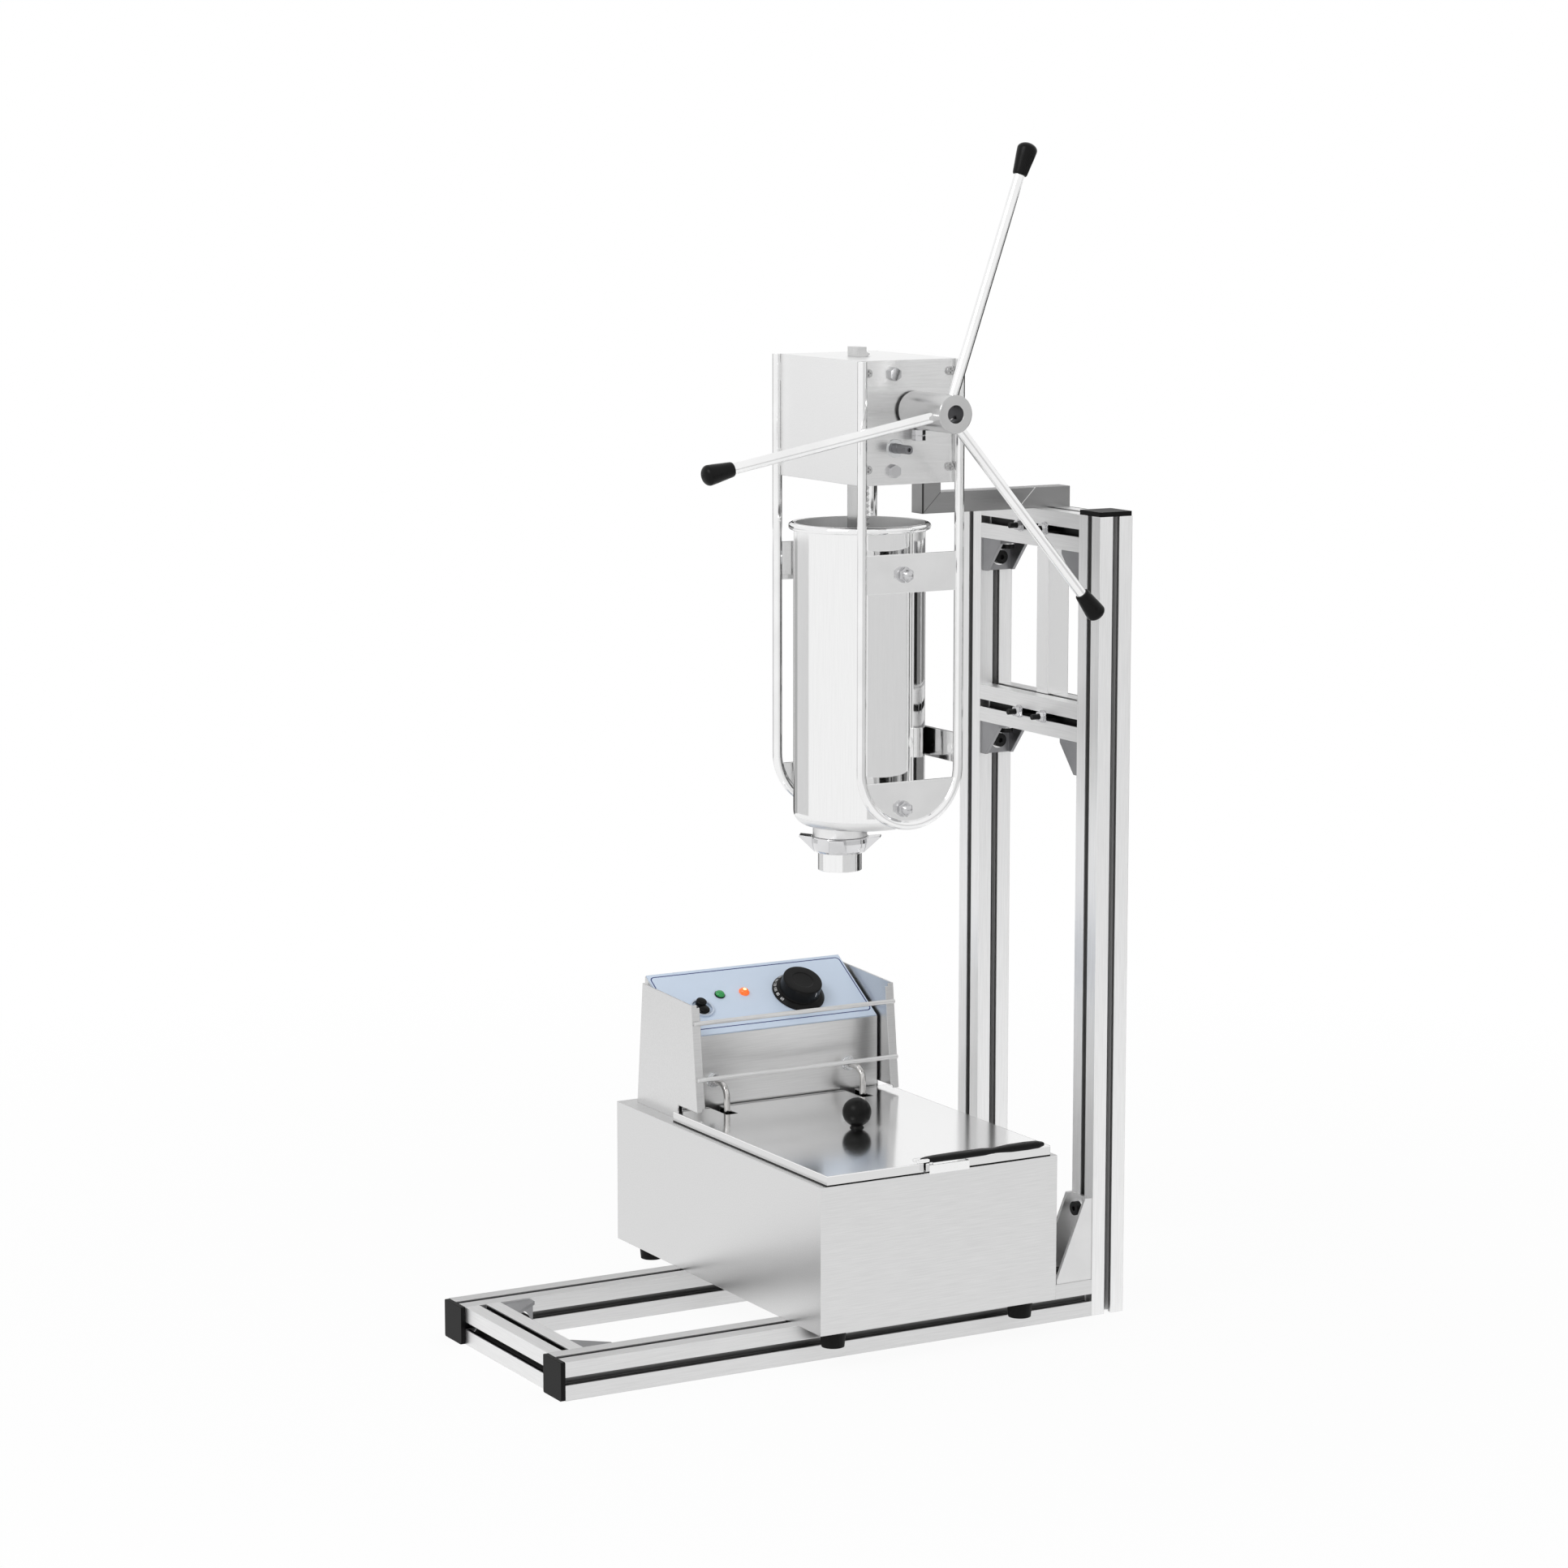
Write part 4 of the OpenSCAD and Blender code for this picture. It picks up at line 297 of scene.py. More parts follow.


# %% [markdown]
# ## Slotted profile
#
# Seven bars share one cross-section, but each runs along its own axis, so each gets a finish of
# its own with the lines drawn out along the bar, and a grey that is painted light: lighter or
# darker by the way the bar runs, as the light falls on that side. The slots could be left to the
# shadows, but soft light fills them; a real slot is darker, because it throws back only what it
# sees of its own walls, so the slots get painted shade.

# %% Slotted profile: drawn lines along the bar, painted light per bar and painted shade in the slots
PROFILES = {"rail_right": 1, "rail_left": 1, "front_beam": 0, "upper_cross_beam": 0,
            "lower_cross_beam": 0, "upright_right": 2, "upright_left": 2}
# Painted light and shade: the first greys, one per direction of bar, darken the slots as painted
# shade; the second greys are painted light, lighter or darker copies of one aluminium by the way
# the bar runs.
SLOT_SHADE = (0.03, 0.22, 0.40)
LIT_TONE = (0.86, 0.74, 0.93)
SLOT_STARTS, SLOT_ENDS = 1.5 * MM, 1.0 * MM


def drawn(name, way):
    """Finish of one bar that runs along axis way, in the painted light of its direction. The
    mask of painted slot shade is one where max(|across 1|, |across 2|) is less than half the bar
    less SLOT_STARTS and |along| is less than half the length less SLOT_ENDS."""
    low, high = (np.array(corner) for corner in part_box(name))
    across = [k for k in range(3) if k != way]
    half = (high - low) / 2
    tone = LIT_TONE[way]
    material = finish("drawn_" + name, (tone, tone, tone), rough=0.40,
                      lines=(ALONG_X, ALONG_Y, ALONG_Z)[way], depth=0.08)
    tree = material.node_tree
    at = place_from(tree, (low + high) / 2, absolute=True)
    in_shaded_slot = reckon(tree, "MAXIMUM", at[across[0]], at[across[1]])
    in_shaded_slot = reckon(tree, "LESS_THAN", in_shaded_slot, float(half[across].min()) - SLOT_STARTS)
    inside = reckon(tree, "LESS_THAN", at[way], float(half[way]) - SLOT_ENDS)
    # painted shade in the slots
    tint(material, reckon(tree, "MULTIPLY", in_shaded_slot, inside), (SLOT_SHADE[way],) * 3)
    return material


# %% [markdown]
# ## The welded arm
#
# The arm behind the gearbox is cut from square tube and welded where two tubes meet at 45
# degrees. A weld could be a piece of its own, but it is ground flat, so a thin dark line in the
# material is all that is left of it at the front joint; the line at the post's joint is a
# painted highlight. The post is painted brighter than the tube above it, which is painted light,
# and the corner between the arm's side and its front gets a thin line of painted shade.

# %% The arm's post, seams and corner, with painted light and shade
# The greys and widths below paint light and shade. The dark seam grey is the front joint's line,
# and the bright seam grey is a painted highlight at the post's joint. The last width is that of
# painted shade along the front corner.
TUBE, SEAM, CORNER_SHADE_WIDTH = 22 * MM, 0.5 * MM, 1.5 * MM
SEAM_DARK, SEAM_HIGHLIGHT = 0.10, 0.85
tree = arm_steel.node_tree
arm_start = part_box("support_arm")[0][1]
arm_side = (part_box("rack")[0][0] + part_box("rack")[1][0] + TUBE) / 2
post_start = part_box("upper_cross_beam")[0][1] - TUBE - arm_start
at = place_from(tree, (arm_side, arm_start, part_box("upright_right")[1][2]))
# painted light: the post, below the upright's top, is made far brighter than the tube above
tint(arm_steel, reckon(tree, "LESS_THAN", at[2], 0.0), (0.88, 0.88, 0.88))
in_tube = reckon(tree, "LESS_THAN", reckon(
    tree, "ABSOLUTE", reckon(tree, "SUBTRACT", at[2], TUBE / 2)), TUBE / 2)
# the front joint's line is dark; the post's joint gets a painted highlight
for start, tone in ((0.0, SEAM_DARK), (post_start, SEAM_HIGHLIGHT)):
    # the tubes meet at 45 degrees, where y - start = z
    away = reckon(tree, "SUBTRACT", reckon(tree, "SUBTRACT", at[1], start), at[2])
    line = reckon(tree, "LESS_THAN", reckon(tree, "ABSOLUTE", away), SEAM)
    tint(arm_steel, reckon(tree, "MULTIPLY", line, in_tube), (tone,) * 3)
# painted shade: a thin dark line along the corner between the arm's side and its front
near_side = reckon(tree, "GREATER_THAN", at[0], -CORNER_SHADE_WIDTH)
near_front = reckon(tree, "LESS_THAN", at[1], CORNER_SHADE_WIDTH)
tint(arm_steel, reckon(tree, "MULTIPLY", near_side, near_front), (0.05, 0.05, 0.05))
print("arm seams 0 and", round(post_start / MM, 1), "mm from its front")

# %% [markdown]
# ## Lid and barrel
#
# The lid's top and skirt share one finish, the skirt a darker grey than the top, and a painted
# shadow lies along the skirt's lower edge, where it meets the case. The barrel is mirror bright
# outside and dull inside, where the dough is pressed along it. Both are one solid each, so the
# place on the piece chooses the finish.

# %% The lid's shadow line and the barrel's inside
LID_SHEET, LID_SHADOW_HEIGHT = 1.0 * MM, 1.5 * MM
tree = lid_polished.node_tree
at = place_from(tree, (0, 0, 0))
lid_low, lid_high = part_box("lid")
# the skirt is given a darker grey than the top
skirt = reckon(tree, "LESS_THAN", at[2], lid_high[2] - LID_SHEET)
tint(lid_polished, skirt, (0.72, 0.72, 0.72))
# painted shadow: the skirt's lowest strip is made black where it meets the case
painted_gap_shadow = reckon(tree, "LESS_THAN", at[2], lid_low[2] + LID_SHADOW_HEIGHT)
tint(lid_polished, painted_gap_shadow, (0.01, 0.01, 0.01))

BARREL_MIDDLE, BARREL_BRIGHT, BARREL_DULL = 68.3 * MM, 0.06, 0.36
low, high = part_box("barrel")
barrel_steel = finish("barrel_steel", (0.87, 0.87, 0.87), rough=BARREL_BRIGHT,
                      lines=ALONG_Z, vary=0.015)
tree = barrel_steel.node_tree
at = place_from(tree, ((low[0] + high[0]) / 2, (low[1] + high[1]) / 2, 0))
radius = reckon(tree, "SQRT", reckon(tree, "ADD", reckon(tree, "MULTIPLY", at[0], at[0]),
                                     reckon(tree, "MULTIPLY", at[1], at[1])))
inside = reckon(tree, "LESS_THAN", radius, BARREL_MIDDLE)
rough = reckon(tree, "MULTIPLY_ADD", inside, BARREL_DULL - BARREL_BRIGHT, BARREL_BRIGHT)
tree.links.new(rough, tree.nodes["Principled BSDF"].inputs["Roughness"])

# %% [markdown]
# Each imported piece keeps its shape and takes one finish. Every finish rounds
# its normals near an edge, so a folded or sawn edge catches the light although
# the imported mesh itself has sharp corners.

# %% Hand the finishes out
WEAR = {
    cap_black: "end_caps",
    die_cast: "corner_brackets",
    die_bright: "foot_brackets",
    black_bolt: "bracket_bolts arm_bolts",
    zinc: "slot_nuts shaft_bushes element_nuts piston_nut barrel_studs",
    arm_steel: "support_arm",
    rack_steel: "rack",
    shell_brushed: "gearbox_shell",
    sheet_brushed: "fryer_case control_head guard_plates",
    plate_brushed_shaded: "gearbox_right_plate gearbox_left_plate",
    rod_steel: "side_frame_right side_frame_left rear_band spokes basket",
    hub_steel: "spoke_hub",
    zinc_dark: "tie_bolts cap_nuts clamp_nuts hub_lock_bolt",
    screw_bright: "plate_screws",
    washer_bright: "bracket_washers",
    barrel_steel: "barrel",
    polished: "fryer_tank nozzle piston",
    lid_polished: "lid",
    wing_cast: "wing_nut",
    gear_steel: "main_shaft main_gear rack_guide slow_shaft",
    seal_white: "piston_seal gasket",
    black_plastic: "spoke_grips lid_knob thermostat_knob power_switch "
                   "basket_handle",
    ring_pale: "switch_ring",
    foot_rubber: "fryer_feet",
    element_bright: "heating_element",
}


def wear(piece, material):
    """Puts one finish on a piece in place of whatever it had."""
    piece.data.materials.clear()
    piece.data.materials.append(material)


for material, names in WEAR.items():
    for name in names.split():
        wear(nodes[name], material)
for name, way in PROFILES.items():
    wear(nodes[name], drawn(name, way))
print("dressed", sum(len(n.split()) for n in WEAR.values()), "of", len(nodes), "pieces")

# %% [markdown]
# ## Smooth shading
#
# A turned part arrives as narrow flat faces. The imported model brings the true
# normals of its round faces along, so smooth shading is enough, and flat
# faces stay flat.

# %% Shade the round pieces smooth
for name, node in nodes.items():
    mesh = node.data
    mesh.polygons.foreach_set("use_smooth", np.ones(len(mesh.polygons), bool))
    if mesh.has_custom_normals:
        continue
    print(name, "has no normals of its own")

# %% [markdown]
# ## Grips on the spokes
#
# A grip is a tapered plastic sleeve with a domed end. It is a profile turned
# round its spoke: thin where it is pushed on, thick and round at the tip.
# The hub's and the spokes' boxes give the wheel's axis, so the grips stay
# where the solids are.

# %% Three turned grips
def middle(node):
    """Centre of a node's box, in metres."""
    low, high = (np.array(c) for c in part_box(node))
    return (low + high) / 2


def finished(piece, material, body, slot_name, *replaced):
    """Dresses a new piece, lets it ride on its body and stand for its solids."""
    wear(piece, material)
    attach(piece, body)
    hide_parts(*replaced)
    return piece


def dome(radius, height, base, steps=14):
    """(radius, height) points of a half ellipse from its rim up to its pole."""
    a = np.radians(np.linspace(0, 90, steps))
    return np.stack([radius * np.cos(a), base + height * np.sin(a)], 1)


wheel_centre = middle("spoke_hub")
wheel_centre[0] = middle("spokes")[0]
GRIP_LENGTH, GRIP_REACH = 34.0, 286.0
grip_profile = np.concatenate([
    rounded([(0, 1.0), (6.9, 0.0), (7.6, 1.4), (8.8, 12.0), (9.9, 21.0), (10.4, 27.0)],
            2.0)[:-1], dome(10.4, 7.0, 27.0)])
grips = []
for angle in (70.6, 190.6, 310.6):
    out = np.array([0.0, math.cos(math.radians(angle)), math.sin(math.radians(angle))])
    start = wheel_centre + out * (GRIP_REACH - GRIP_LENGTH) * MM
    grips.append(turned(f"grip_{len(grips) + 1}", grip_profile, start, out, steps=48,
                        sharp=60))
for grip in grips:
    finished(grip, black_plastic, "wheel", "black_plastic", "spoke_grips")
print(len(grips), "grips of", len(grips[0].data.polygons), "faces")

# %% [markdown]
# ## Ball knob on the lid
#
# A moulded ball on a short neck. Turned from one profile, the neck runs into
# the ball without a seam.

# %% Ball knob
lid_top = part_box("lid")[1][2]
knob_low, knob_high = (np.array(c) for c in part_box("lid_knob"))
ball_r = 15.5
ball_at = np.array([*(knob_low + knob_high)[:2] / 2, lid_top])
neck_start = -math.degrees(math.acos(6.4 / ball_r))
ball_profile = np.concatenate([
    [(0, -0.4), (7.6, -0.4), (7.6, 0.6), (6.6, 1.6), (6.4, 2.4)],
    arc((0, 17.0), ball_r, neck_start, 90, 28)])
ball = turned("ball_knob", ball_profile, ball_at, (0, 0, 1), steps=72, sharp=60)
finished(ball, black_plastic, "stand", "black_plastic", "lid_knob")

# %% [markdown]
# ## Basket handle
#
# The grip is a flat moulded bar with a waist and a hanging hole near it. Its
# cross-section is a rounded box, |x/a|^p + |z/b|^p = 1, whose half width a
# and half thickness b swell and shrink along the grip.

# %% Handle grip and its wire ends
handle_low, handle_high = (np.array(c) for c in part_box("basket_handle"))
handle_mid = (handle_low + handle_high) / 2
STUB, POWER, RINGS, ROUND = 6.0 * MM, 2.8, 90, 40
WIRE_R, WIRE_APART, WIRE_LENGTH = 2.0, 3.5, 14
ALONG = [0, .01, .05, .12, .3, .5, .565, .6, .64, .72, .85, .94, .985, 1]
HALF_WIDTH = [0, 3.5, 5.2, 6.4, 6.9, 6.6, 5.0, 4.6, 5.4, 6.7, 6.9, 6.2, 3.6, 0]
HALF_THICK = [0, 1.8, 2.7, 3.2, 3.5, 3.4, 2.8, 2.6, 3.0, 3.8, 3.95, 3.6, 2.0, 0]
s = np.concatenate([[0], (1 - np.cos(np.linspace(0.12, np.pi - 0.12, RINGS))) / 2, [1]])
half_width = np.interp(s, ALONG, HALF_WIDTH)
half_thick = np.interp(s, ALONG, HALF_THICK)
turn = np.linspace(0, 2 * np.pi, ROUND, endpoint=False)


def bulge(c):
    """Cosine or sine c bent towards a square: sign of c times |c|^(2 / POWER)."""
    return np.sign(c) * np.abs(c) ** (2 / POWER)


grip_start = handle_low[1] + STUB
grid = np.stack([
    handle_mid[0] + half_width[:, None] * MM * bulge(np.cos(turn)),
    np.repeat(grip_start + s[:, None] * (handle_high[1] - grip_start), ROUND, 1),
    handle_mid[2] + half_thick[:, None] * MM * bulge(np.sin(turn))], 2)
handle = surface("handle_grip", grid, close_v=True, sharp=70)
finished(handle, black_plastic, "handle", "black_plastic", "basket_handle")
for side in (-1, 1):
    wire_end = turned(f"handle_wire_{'left' if side < 0 else 'right'}",
                      [(0, 0), (1.6, 0), (WIRE_R, 0.6), (WIRE_R, WIRE_LENGTH),
                       (0, WIRE_LENGTH)],
                      (handle_mid[0] + side * WIRE_APART * MM, handle_low[1], handle_mid[2]),
                      (0, 1, 0), steps=24)
    finished(wire_end, rod_steel, "handle", "rod_steel")

# %% [markdown]
# ## Thermostat knob, lamps and switch
#
# They stand square on the sloping panel. The knob's joint gives the slope:
# its axis is the panel's normal. A frame of three vectors on the panel (down
# the slope, along the head, and out) then places every piece in plain
# panel millimetres.

# %% The panel's own axes
turn_joint = next(j for j in frame["joints"] if j["name"] == "thermostat_turn")
normal = np.array(turn_joint["axis"], float)
normal /= np.linalg.norm(normal)
along = np.array([0.0, 1.0, 0.0])
down = np.cross(along, normal)
JOINT_OUT, KNOB_DOWN, KNOB_ALONG = 5, 3, 44
knob_at = np.array(turn_joint["pos_m"]) - normal * JOINT_OUT * MM
panel_at = knob_at - down * KNOB_DOWN * MM - along * KNOB_ALONG * MM


def on_panel(u, v, h=0.0):
    """Point u millimetres down the panel, v along it and h out of it."""
    return panel_at + (down * u + along * v + normal * h) * MM


knob_profile = np.concatenate([
    [(0, 1.75), (29.6, 1.75)],
    rounded([(29.9, 1.9), (29.9, 3.1), (25.2, 6.6), (22.9, 6.7), (22.7, 9.0),
             (22.2, 21.6), (12.0, 21.6), (11.4, 21.0), (0, 21.0)], 1.5)])
knob = turned("thermostat_cap", knob_profile, knob_at, normal, steps=96, sharp=50)
finished(knob, black_plastic, "knob", "black_plastic", "thermostat_knob")
print("knob on the panel at", np.round(knob_at, 4).tolist())

# %% [markdown]
# ## Numbers on the dial
#
# White numbers run round the knob's sloping skirt. They could be painted by
# an image, but a text curve made a mesh stays sharp at any size. Each number
# is placed by three vectors: sideways, up the slope, and out of the face.

# %% Dial numbers, ticks and the knob's mark
def plate_mark(name, u0, u1, v0, v1, centre, axis_u, axis_v, lift):
    """Flat strip from (u0, v0) to (u1, v1) in millimetres on two axes."""
    corners = [(u0, v0), (u1, v0), (u1, v1), (u0, v1)]
    points = np.array([centre + (axis_u * a + axis_v * b + lift) * MM
                       for a, b in corners])
    return surface(name, points[[0, 1, 3, 2]].reshape(2, 2, 3))


SKIRT = np.array([[29.9, 3.1], [25.2, 6.6]])
skirt_slope = (SKIRT[1] - SKIRT[0]) / np.linalg.norm(SKIRT[1] - SKIRT[0])
FIRST_TURN, NEXT_TURN, NUMBER_R, NUMBER_OUT, PAINT = -70, -17, 27.4, 4.95, 0.12
NUMBER_SIZE = 4.4 * MM
marks = []
for k, number in enumerate(("60", "80", "100", "120", "140", "160", "180", "200")):
    a = math.radians(FIRST_TURN + k * NEXT_TURN)
    outward = down * math.cos(a) + along * math.sin(a)
    sideways = -down * math.sin(a) + along * math.cos(a)
    up = outward * skirt_slope[0] + normal * skirt_slope[1]
    face = np.cross(sideways, up)
    face = face if face @ normal > 0 else -face
    at = knob_at + (outward * NUMBER_R + normal * NUMBER_OUT + face * PAINT) * MM
    curve = bpy.data.curves.new("number", "FONT")
    curve.body, curve.size = number, NUMBER_SIZE
    curve.align_x = curve.align_y = "CENTER"
    text = bpy.data.objects.new("number", curve)
    bpy.context.scene.collection.objects.link(text)
    bpy.context.view_layer.update()
    mesh = bpy.data.meshes.new_from_object(text)
    bpy.data.objects.remove(text)
    across_dir = np.cross(up, face)
    matrix = Matrix([[across_dir[i], up[i], face[i], at[i]] for i in range(3)]
                    + [[0, 0, 0, 1]])
    mesh.transform(matrix)
    mark = bpy.data.objects.new(f"dial_number_{number}", mesh)
    bpy.context.scene.collection.objects.link(mark)
    marks.append(mark)
KNOB_POINTS = 20
a = math.radians(KNOB_POINTS)
outward = down * math.cos(a) + along * math.sin(a)
sideways = -down * math.sin(a) + along * math.cos(a)
marks.append(plate_mark("knob_mark", -0.6, 0.6, 14.5, 20.0, knob_at, sideways, normal,
                        outward * 22.75))
for mark in marks:
    finished(mark, white_mark, "knob", "black_plastic")
print(len(marks), "white marks on the knob")

# %% [markdown]
# ## Lamps
#
# A lamp is a dome of coloured plastic in a thin ring. Clear plastic over a bulb would need many
# light paths for a piece this small, so the dome glows by itself and a clear coat gives it its
# highlight. The orange one is lit, and has a bright core. The green one is not lit, so its faint
# glow is painted light, standing in for light through its plastic.

# %% Two domed lamps in thin rings
def lens(name, dark, bright, strength):
    """Coloured plastic that glows evenly by itself, under a clear coat: light
    sent out = bright * strength, added to what the dark colour throws back."""
    material = finish(name, dark, metal=0.0, rough=0.12, vary=0.0)
    tree = material.node_tree
    shader = tree.nodes["Principled BSDF"]
    shader.inputs["Emission Color"].default_value = (*bright, 1)
    shader.inputs["Emission Strength"].default_value = strength
    shader.inputs["Coat Weight"].default_value = 0.6
    return material


# painted light: the unlit green lamp is given a faint glow of its own
green_painted_glow = lens("green_painted_glow", (0.0, 0.16, 0.03), (0.0, 0.30, 0.05), 0.4)
orange_glow = lens("orange_glow", (0.75, 0.12, 0.01), (1.0, 0.16, 0.01), 0.55)
lamp_white = lens("orange_core", (1.0, 0.75, 0.35), (1.0, 0.72, 0.30), 1.6)
lens_profile = np.concatenate([[(0, 1.4), (5.4, 1.4), (5.4, 2.6)], dome(5.3, 3.7, 2.6)])
ring_profile = rounded([(5.2, 1.3), (6.0, 1.3), (6.0, 2.6), (5.3, 3.0), (5.2, 1.3)], 0.3)
LAMP_U = -8
for name, v, material, slot_name, node in (
        ("green", -49.5, green_painted_glow, "green_lens", "green_lamp"),
        ("orange", -19.0, orange_glow, "orange_lens", "orange_lamp")):
    lamp = turned(name + "_dome", lens_profile, on_panel(LAMP_U, v), normal, steps=48)
    finished(lamp, material, "stand", slot_name, node)
    ring = turned(name + "_ring", ring_profile, on_panel(LAMP_U, v), normal, steps=48)
    finished(ring, black_plastic if name == "green" else orange_glow, "stand", slot_name)
core = turned("orange_core", dome(2.0, 0.5, 5.95, 8), on_panel(-8.2, -19.2), normal, 24)
finished(core, lamp_white, "stand", "orange_lens")

# %% [markdown]
# ## Rocker switch
#
# The switch is a rocker under a soft cover with two round lobes. Each lobe is
# a turned profile with a domed end, and a low web joins them. All of it rides
# on the rocker's body, so the taller lobe sinks when the switch is tipped.

# %% Rocker with two round lobes
SWITCH_U, SWITCH_V, LOBE_R, LOBE_DOME, LOBE_BASE = 10, -80, 5.9, 2.2, 3.9
lobes = []
for name, u, tall in (("upper", -4.83, 6.3), ("lower", 4.83, 4.0)):
    dome_base = LOBE_BASE + tall - LOBE_DOME
    lobe_profile = np.concatenate([[(0, 3.95), (5.8, 3.95), (LOBE_R, 4.2), (LOBE_R, dome_base)],
                                   dome(LOBE_R, LOBE_DOME, dome_base)])
    lobes.append(turned(name + "_lobe", lobe_profile, on_panel(SWITCH_U + u, SWITCH_V),
                        normal, 40))
    finished(lobes[-1], black_plastic, "rocker", "black_plastic", "power_switch")
web = turned("lobe_web", rounded([(0, 2.7), (3.6, 2.7), (3.6, 6.3), (0, 6.3)], 0.6),
             on_panel(SWITCH_U, SWITCH_V), normal, 32)
finished(web, black_plastic, "rocker", "black_plastic")

# %% [markdown]
# ## Printed panel
#
# The panel is a pale blue print with a dark line running round it, a hand's
# breadth of plain colour inside. The line is drawn by the material: the
# distance to a rounded rectangle, measured on the panel's own axes, is zero
# on the line.

# %% Blue print with a dark border
def panel_print():
    """Distance to a rounded box: length(max(|p| - half size, 0)) - corner.
    Where its size is under half the line's width, the colour is the line's."""
    material = finish("panel_print", (0.62, 0.72, 0.86), metal=0.0, rough=0.35, vary=0.01)
    tree = material.node_tree
    place = tree.nodes.new("ShaderNodeTexCoord")

    def past(axis, centre, half):
        """How far past half a point lies on an axis: max(|p - centre| - half, 0)."""
        dot = tree.nodes.new("ShaderNodeVectorMath")
        dot.operation = "DOT_PRODUCT"
        dot.inputs[1].default_value = axis
        tree.links.new(place.outputs["Object"], dot.inputs[0])
        away = reckon(tree, "SUBTRACT", dot.outputs["Value"], centre)
        away = reckon(tree, "SUBTRACT", reckon(tree, "ABSOLUTE", away), half)
        return reckon(tree, "MAXIMUM", away, 0.0)

    corner, half_u, half_v, line, middle_u = (n * MM for n in (5, 43.4, 119, 0.7, 2.4))
    u = past(down, float(panel_at @ down) - middle_u, half_u - corner)
    v = past(along, float(panel_at @ along), half_v - corner)
    away = reckon(tree, "SQRT", reckon(tree, "ADD", reckon(tree, "MULTIPLY", u, u),
                                       reckon(tree, "MULTIPLY", v, v)))
    off = reckon(tree, "ABSOLUTE", reckon(tree, "SUBTRACT", away, corner))
    tint(material, reckon(tree, "LESS_THAN", off, line), (0.02, 0.04, 0.18))
    return material


wear(nodes["control_panel"], panel_print())

# %% [markdown]
# ## Camera
#
# The photograph was taken from the front right, slightly above. A long lens
# keeps the uprights nearly parallel, as they are in the picture. The angles
# are measured from the front, and the target lies near the middle of the
# machine.

# %% The camera at the photograph's angle
AZIMUTH, ELEVATION = math.radians(60.431), math.radians(8.804)
TARGET, DISTANCE = Vector((0.0071, 0.0077, 0.5745)), 4.491
camera = bpy.data.objects.new("camera", bpy.data.cameras.new("camera"))
camera.data.lens = 98.31
camera.data.sensor_width = 36
camera.data.clip_end = 50
toward = Vector((math.sin(AZIMUTH) * math.cos(ELEVATION),
                 -math.cos(AZIMUTH) * math.cos(ELEVATION), math.sin(ELEVATION)))
camera.location = TARGET + toward * DISTANCE
camera.rotation_euler = (-toward).to_track_quat("-Z", "Y").to_euler()
bpy.context.scene.collection.objects.link(camera)
bpy.context.scene.camera = camera
bpy.context.scene.view_settings.view_transform = "Standard"

# %% [markdown]
# ## A white studio
#
# World and floor are white for the camera and for rays that metal throws
# back, so polished steel shows the same white background. Dull surfaces get
# plain light at strength one. What gives white metal its drawing are black
# cards outside the picture: a low one far behind darkens the edges of every
# upright tube, because a tube's edge throws the view on to what is behind it.

# %% World
def any_ray(tree, *names):
    """One where any of the named kinds of ray looks: the sum, held at one."""
    path = tree.nodes.new("ShaderNodeLightPath")
    total = None
    for name in names:
        add = tree.nodes.new("ShaderNodeMath")
        add.operation, add.use_clamp = "ADD", True
        add.inputs[0].default_value = 0.0
        if total is not None:
            tree.links.new(total, add.inputs[0])
        tree.links.new(path.outputs[name], add.inputs[1])
        total = add.outputs[0]
    return total


SEEN = ("Is Camera Ray", "Is Glossy Ray", "Is Transmission Ray")
world = bpy.data.worlds.new("studio")
bpy.context.scene.world = world
world.use_nodes = True
tree = world.node_tree
mix = tree.nodes.new("ShaderNodeMix")
mix.data_type = "RGBA"
tree.links.new(any_ray(tree, *SEEN), mix.inputs["Factor"])
mix.inputs[6].default_value = (0.80, 0.80, 0.80, 1)
mix.inputs[7].default_value = (1, 1, 1, 1)
tree.links.new(mix.outputs[2], tree.nodes["Background"].inputs["Color"])
tree.nodes["Background"].inputs["Strength"].default_value = 1.0

# %% [markdown]
# ## Floor
#
# The floor is white wherever the camera or bright metal looks at it, and a
# plain pale surface to all other rays. Close to the machine a little of the
# real surface is left in, so the feet keep their soft shadow.

# %% Floor
floor_mesh = bpy.data.meshes.new("floor")
floor_mesh.from_pydata([(-6, -6, 0), (6, -6, 0), (6, 6, 0), (-6, 6, 0)], [], [(0, 1, 2, 3)])
floor = bpy.data.objects.new("floor", floor_mesh)
bpy.context.scene.collection.objects.link(floor)
floor_white = bpy.data.materials.new("floor_white")
floor_white.use_nodes = True
tree = floor_white.node_tree
tree.nodes["Principled BSDF"].inputs["Base Color"].default_value = (0.85, 0.85, 0.85, 1)
tree.nodes["Principled BSDF"].inputs["Roughness"].default_value = 0.9
glow = tree.nodes.new("ShaderNodeEmission")
glow.inputs["Color"].default_value = (1, 1, 1, 1)
mix = tree.nodes.new("ShaderNodeMixShader")
place = tree.nodes.new("ShaderNodeTexCoord")
radius = tree.nodes.new("ShaderNodeVectorMath")
radius.operation = "LENGTH"
tree.links.new(place.outputs["Object"], radius.inputs[0])
fade = tree.nodes.new("ShaderNodeMapRange")
for socket, value in zip(("From Min", "From Max", "To Min", "To Max"), (0.7, 1.9, 0.93, 1.0)):
    fade.inputs[socket].default_value = value
tree.links.new(radius.outputs["Value"], fade.inputs["Value"])
share = tree.nodes.new("ShaderNodeMath")
share.operation = "MULTIPLY"
tree.links.new(any_ray(tree, *SEEN), share.inputs[0])
tree.links.new(fade.outputs["Result"], share.inputs[1])
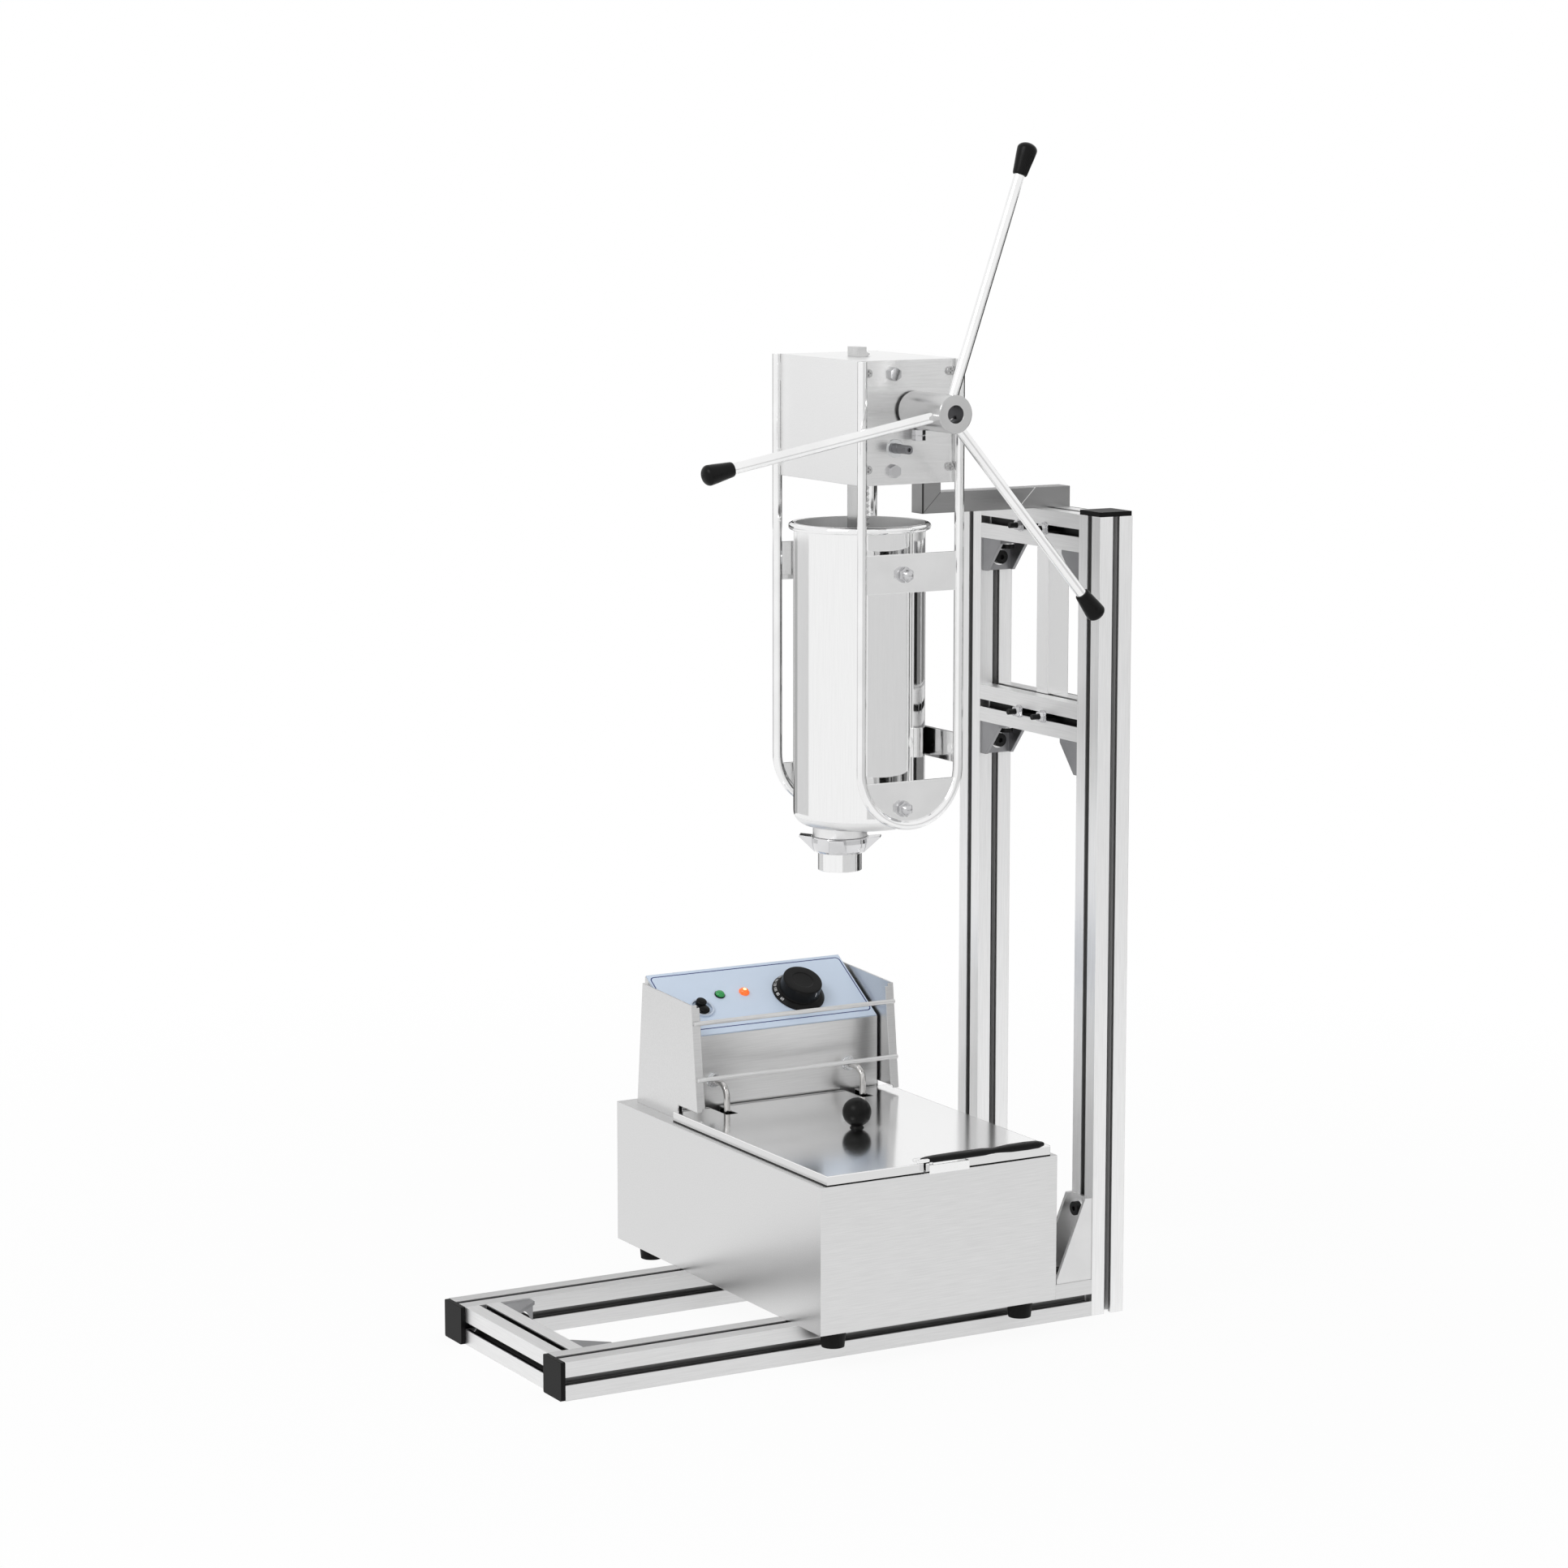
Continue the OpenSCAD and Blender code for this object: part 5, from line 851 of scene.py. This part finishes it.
tree.links.new(share.outputs[0], mix.inputs["Fac"])
tree.links.new(tree.nodes["Principled BSDF"].outputs[0], mix.inputs[1])
tree.links.new(glow.outputs[0], mix.inputs[2])
tree.links.new(mix.outputs[0], tree.nodes["Material Output"].inputs["Surface"])
floor_mesh.materials.append(floor_white)

# %% [markdown]
# ## Lamp
#
# The white world lights all sides alike. One large lamp from the front left
# adds just enough direction for round plastic and brushed sheet to show
# their form.

# %% One soft lamp from the upper left
lamp_data = bpy.data.lights.new("soft_lamp", "AREA")
lamp_data.shape, lamp_data.size, lamp_data.size_y = "RECTANGLE", 1.6, 1.2
lamp_data.energy = 26
soft_lamp = bpy.data.objects.new("soft_lamp", lamp_data)
soft_lamp.location = (0.9, -2.4, 2.6)
soft_lamp.rotation_euler = (Vector((0, 0, 0.6)) - soft_lamp.location).to_track_quat(
    "-Z", "Y").to_euler()
bpy.context.scene.collection.objects.link(soft_lamp)

# %% [markdown]
# ## Cards
#
# Photographers of bright metal stand black and grey cards beside it, because
# it shows nothing but its surroundings. Each card here is a strip on a circle
# round the machine, hidden from the camera, and no dull surface sees it.

# %% Grey and black cards, seen only by metal
CARD_RADIUS, BEHIND = 2.4, 150.4


def card(name, grey, turn_0, turn_1, z0, z1, radius=CARD_RADIUS):
    """Upright strip on a circle round the machine, outside the picture.
    Point = (radius cos a, radius sin a, z); turn is measured from the
    direction straight behind the machine, to the left seen by the camera."""
    a = np.radians(BEHIND + np.linspace(turn_0, turn_1, 24))[:, None]
    z = np.array([z0, z1])[None, :]
    points = np.stack([radius * np.cos(a) + 0 * z, radius * np.sin(a) + 0 * z, z + 0 * a], -1)
    board = surface(name, points[:, ::-1])
    paint = bpy.data.materials.new(name)
    paint.use_nodes = True
    shader = paint.node_tree.nodes["Principled BSDF"]
    shader.inputs["Base Color"].default_value = (grey, grey, grey, 1)
    shader.inputs["Specular IOR Level"].default_value = 0.0
    board.data.materials.append(paint)
    board.visible_camera = board.visible_diffuse = board.visible_shadow = False


CARDS = ((0.85, -165, -90, 0.0, 0.95), (0.02, -90, -85, 0.0, 0.9),
         (0.02, -78, -62, 0.0, 0.8), (0.25, -62, -30, 0.0, 0.6), (0.02, -30, 20, 0.0, 0.58),
         (0.55, 20, 40, 0.0, 0.6), (0.86, 40, 80, 0.0, 0.6),
         (0.04, -80, 46, 0.72, 1.0, 1.3))
for number, values in enumerate(CARDS):
    card(f"card_{number + 1}", *values)
print(len(CARDS), "cards")
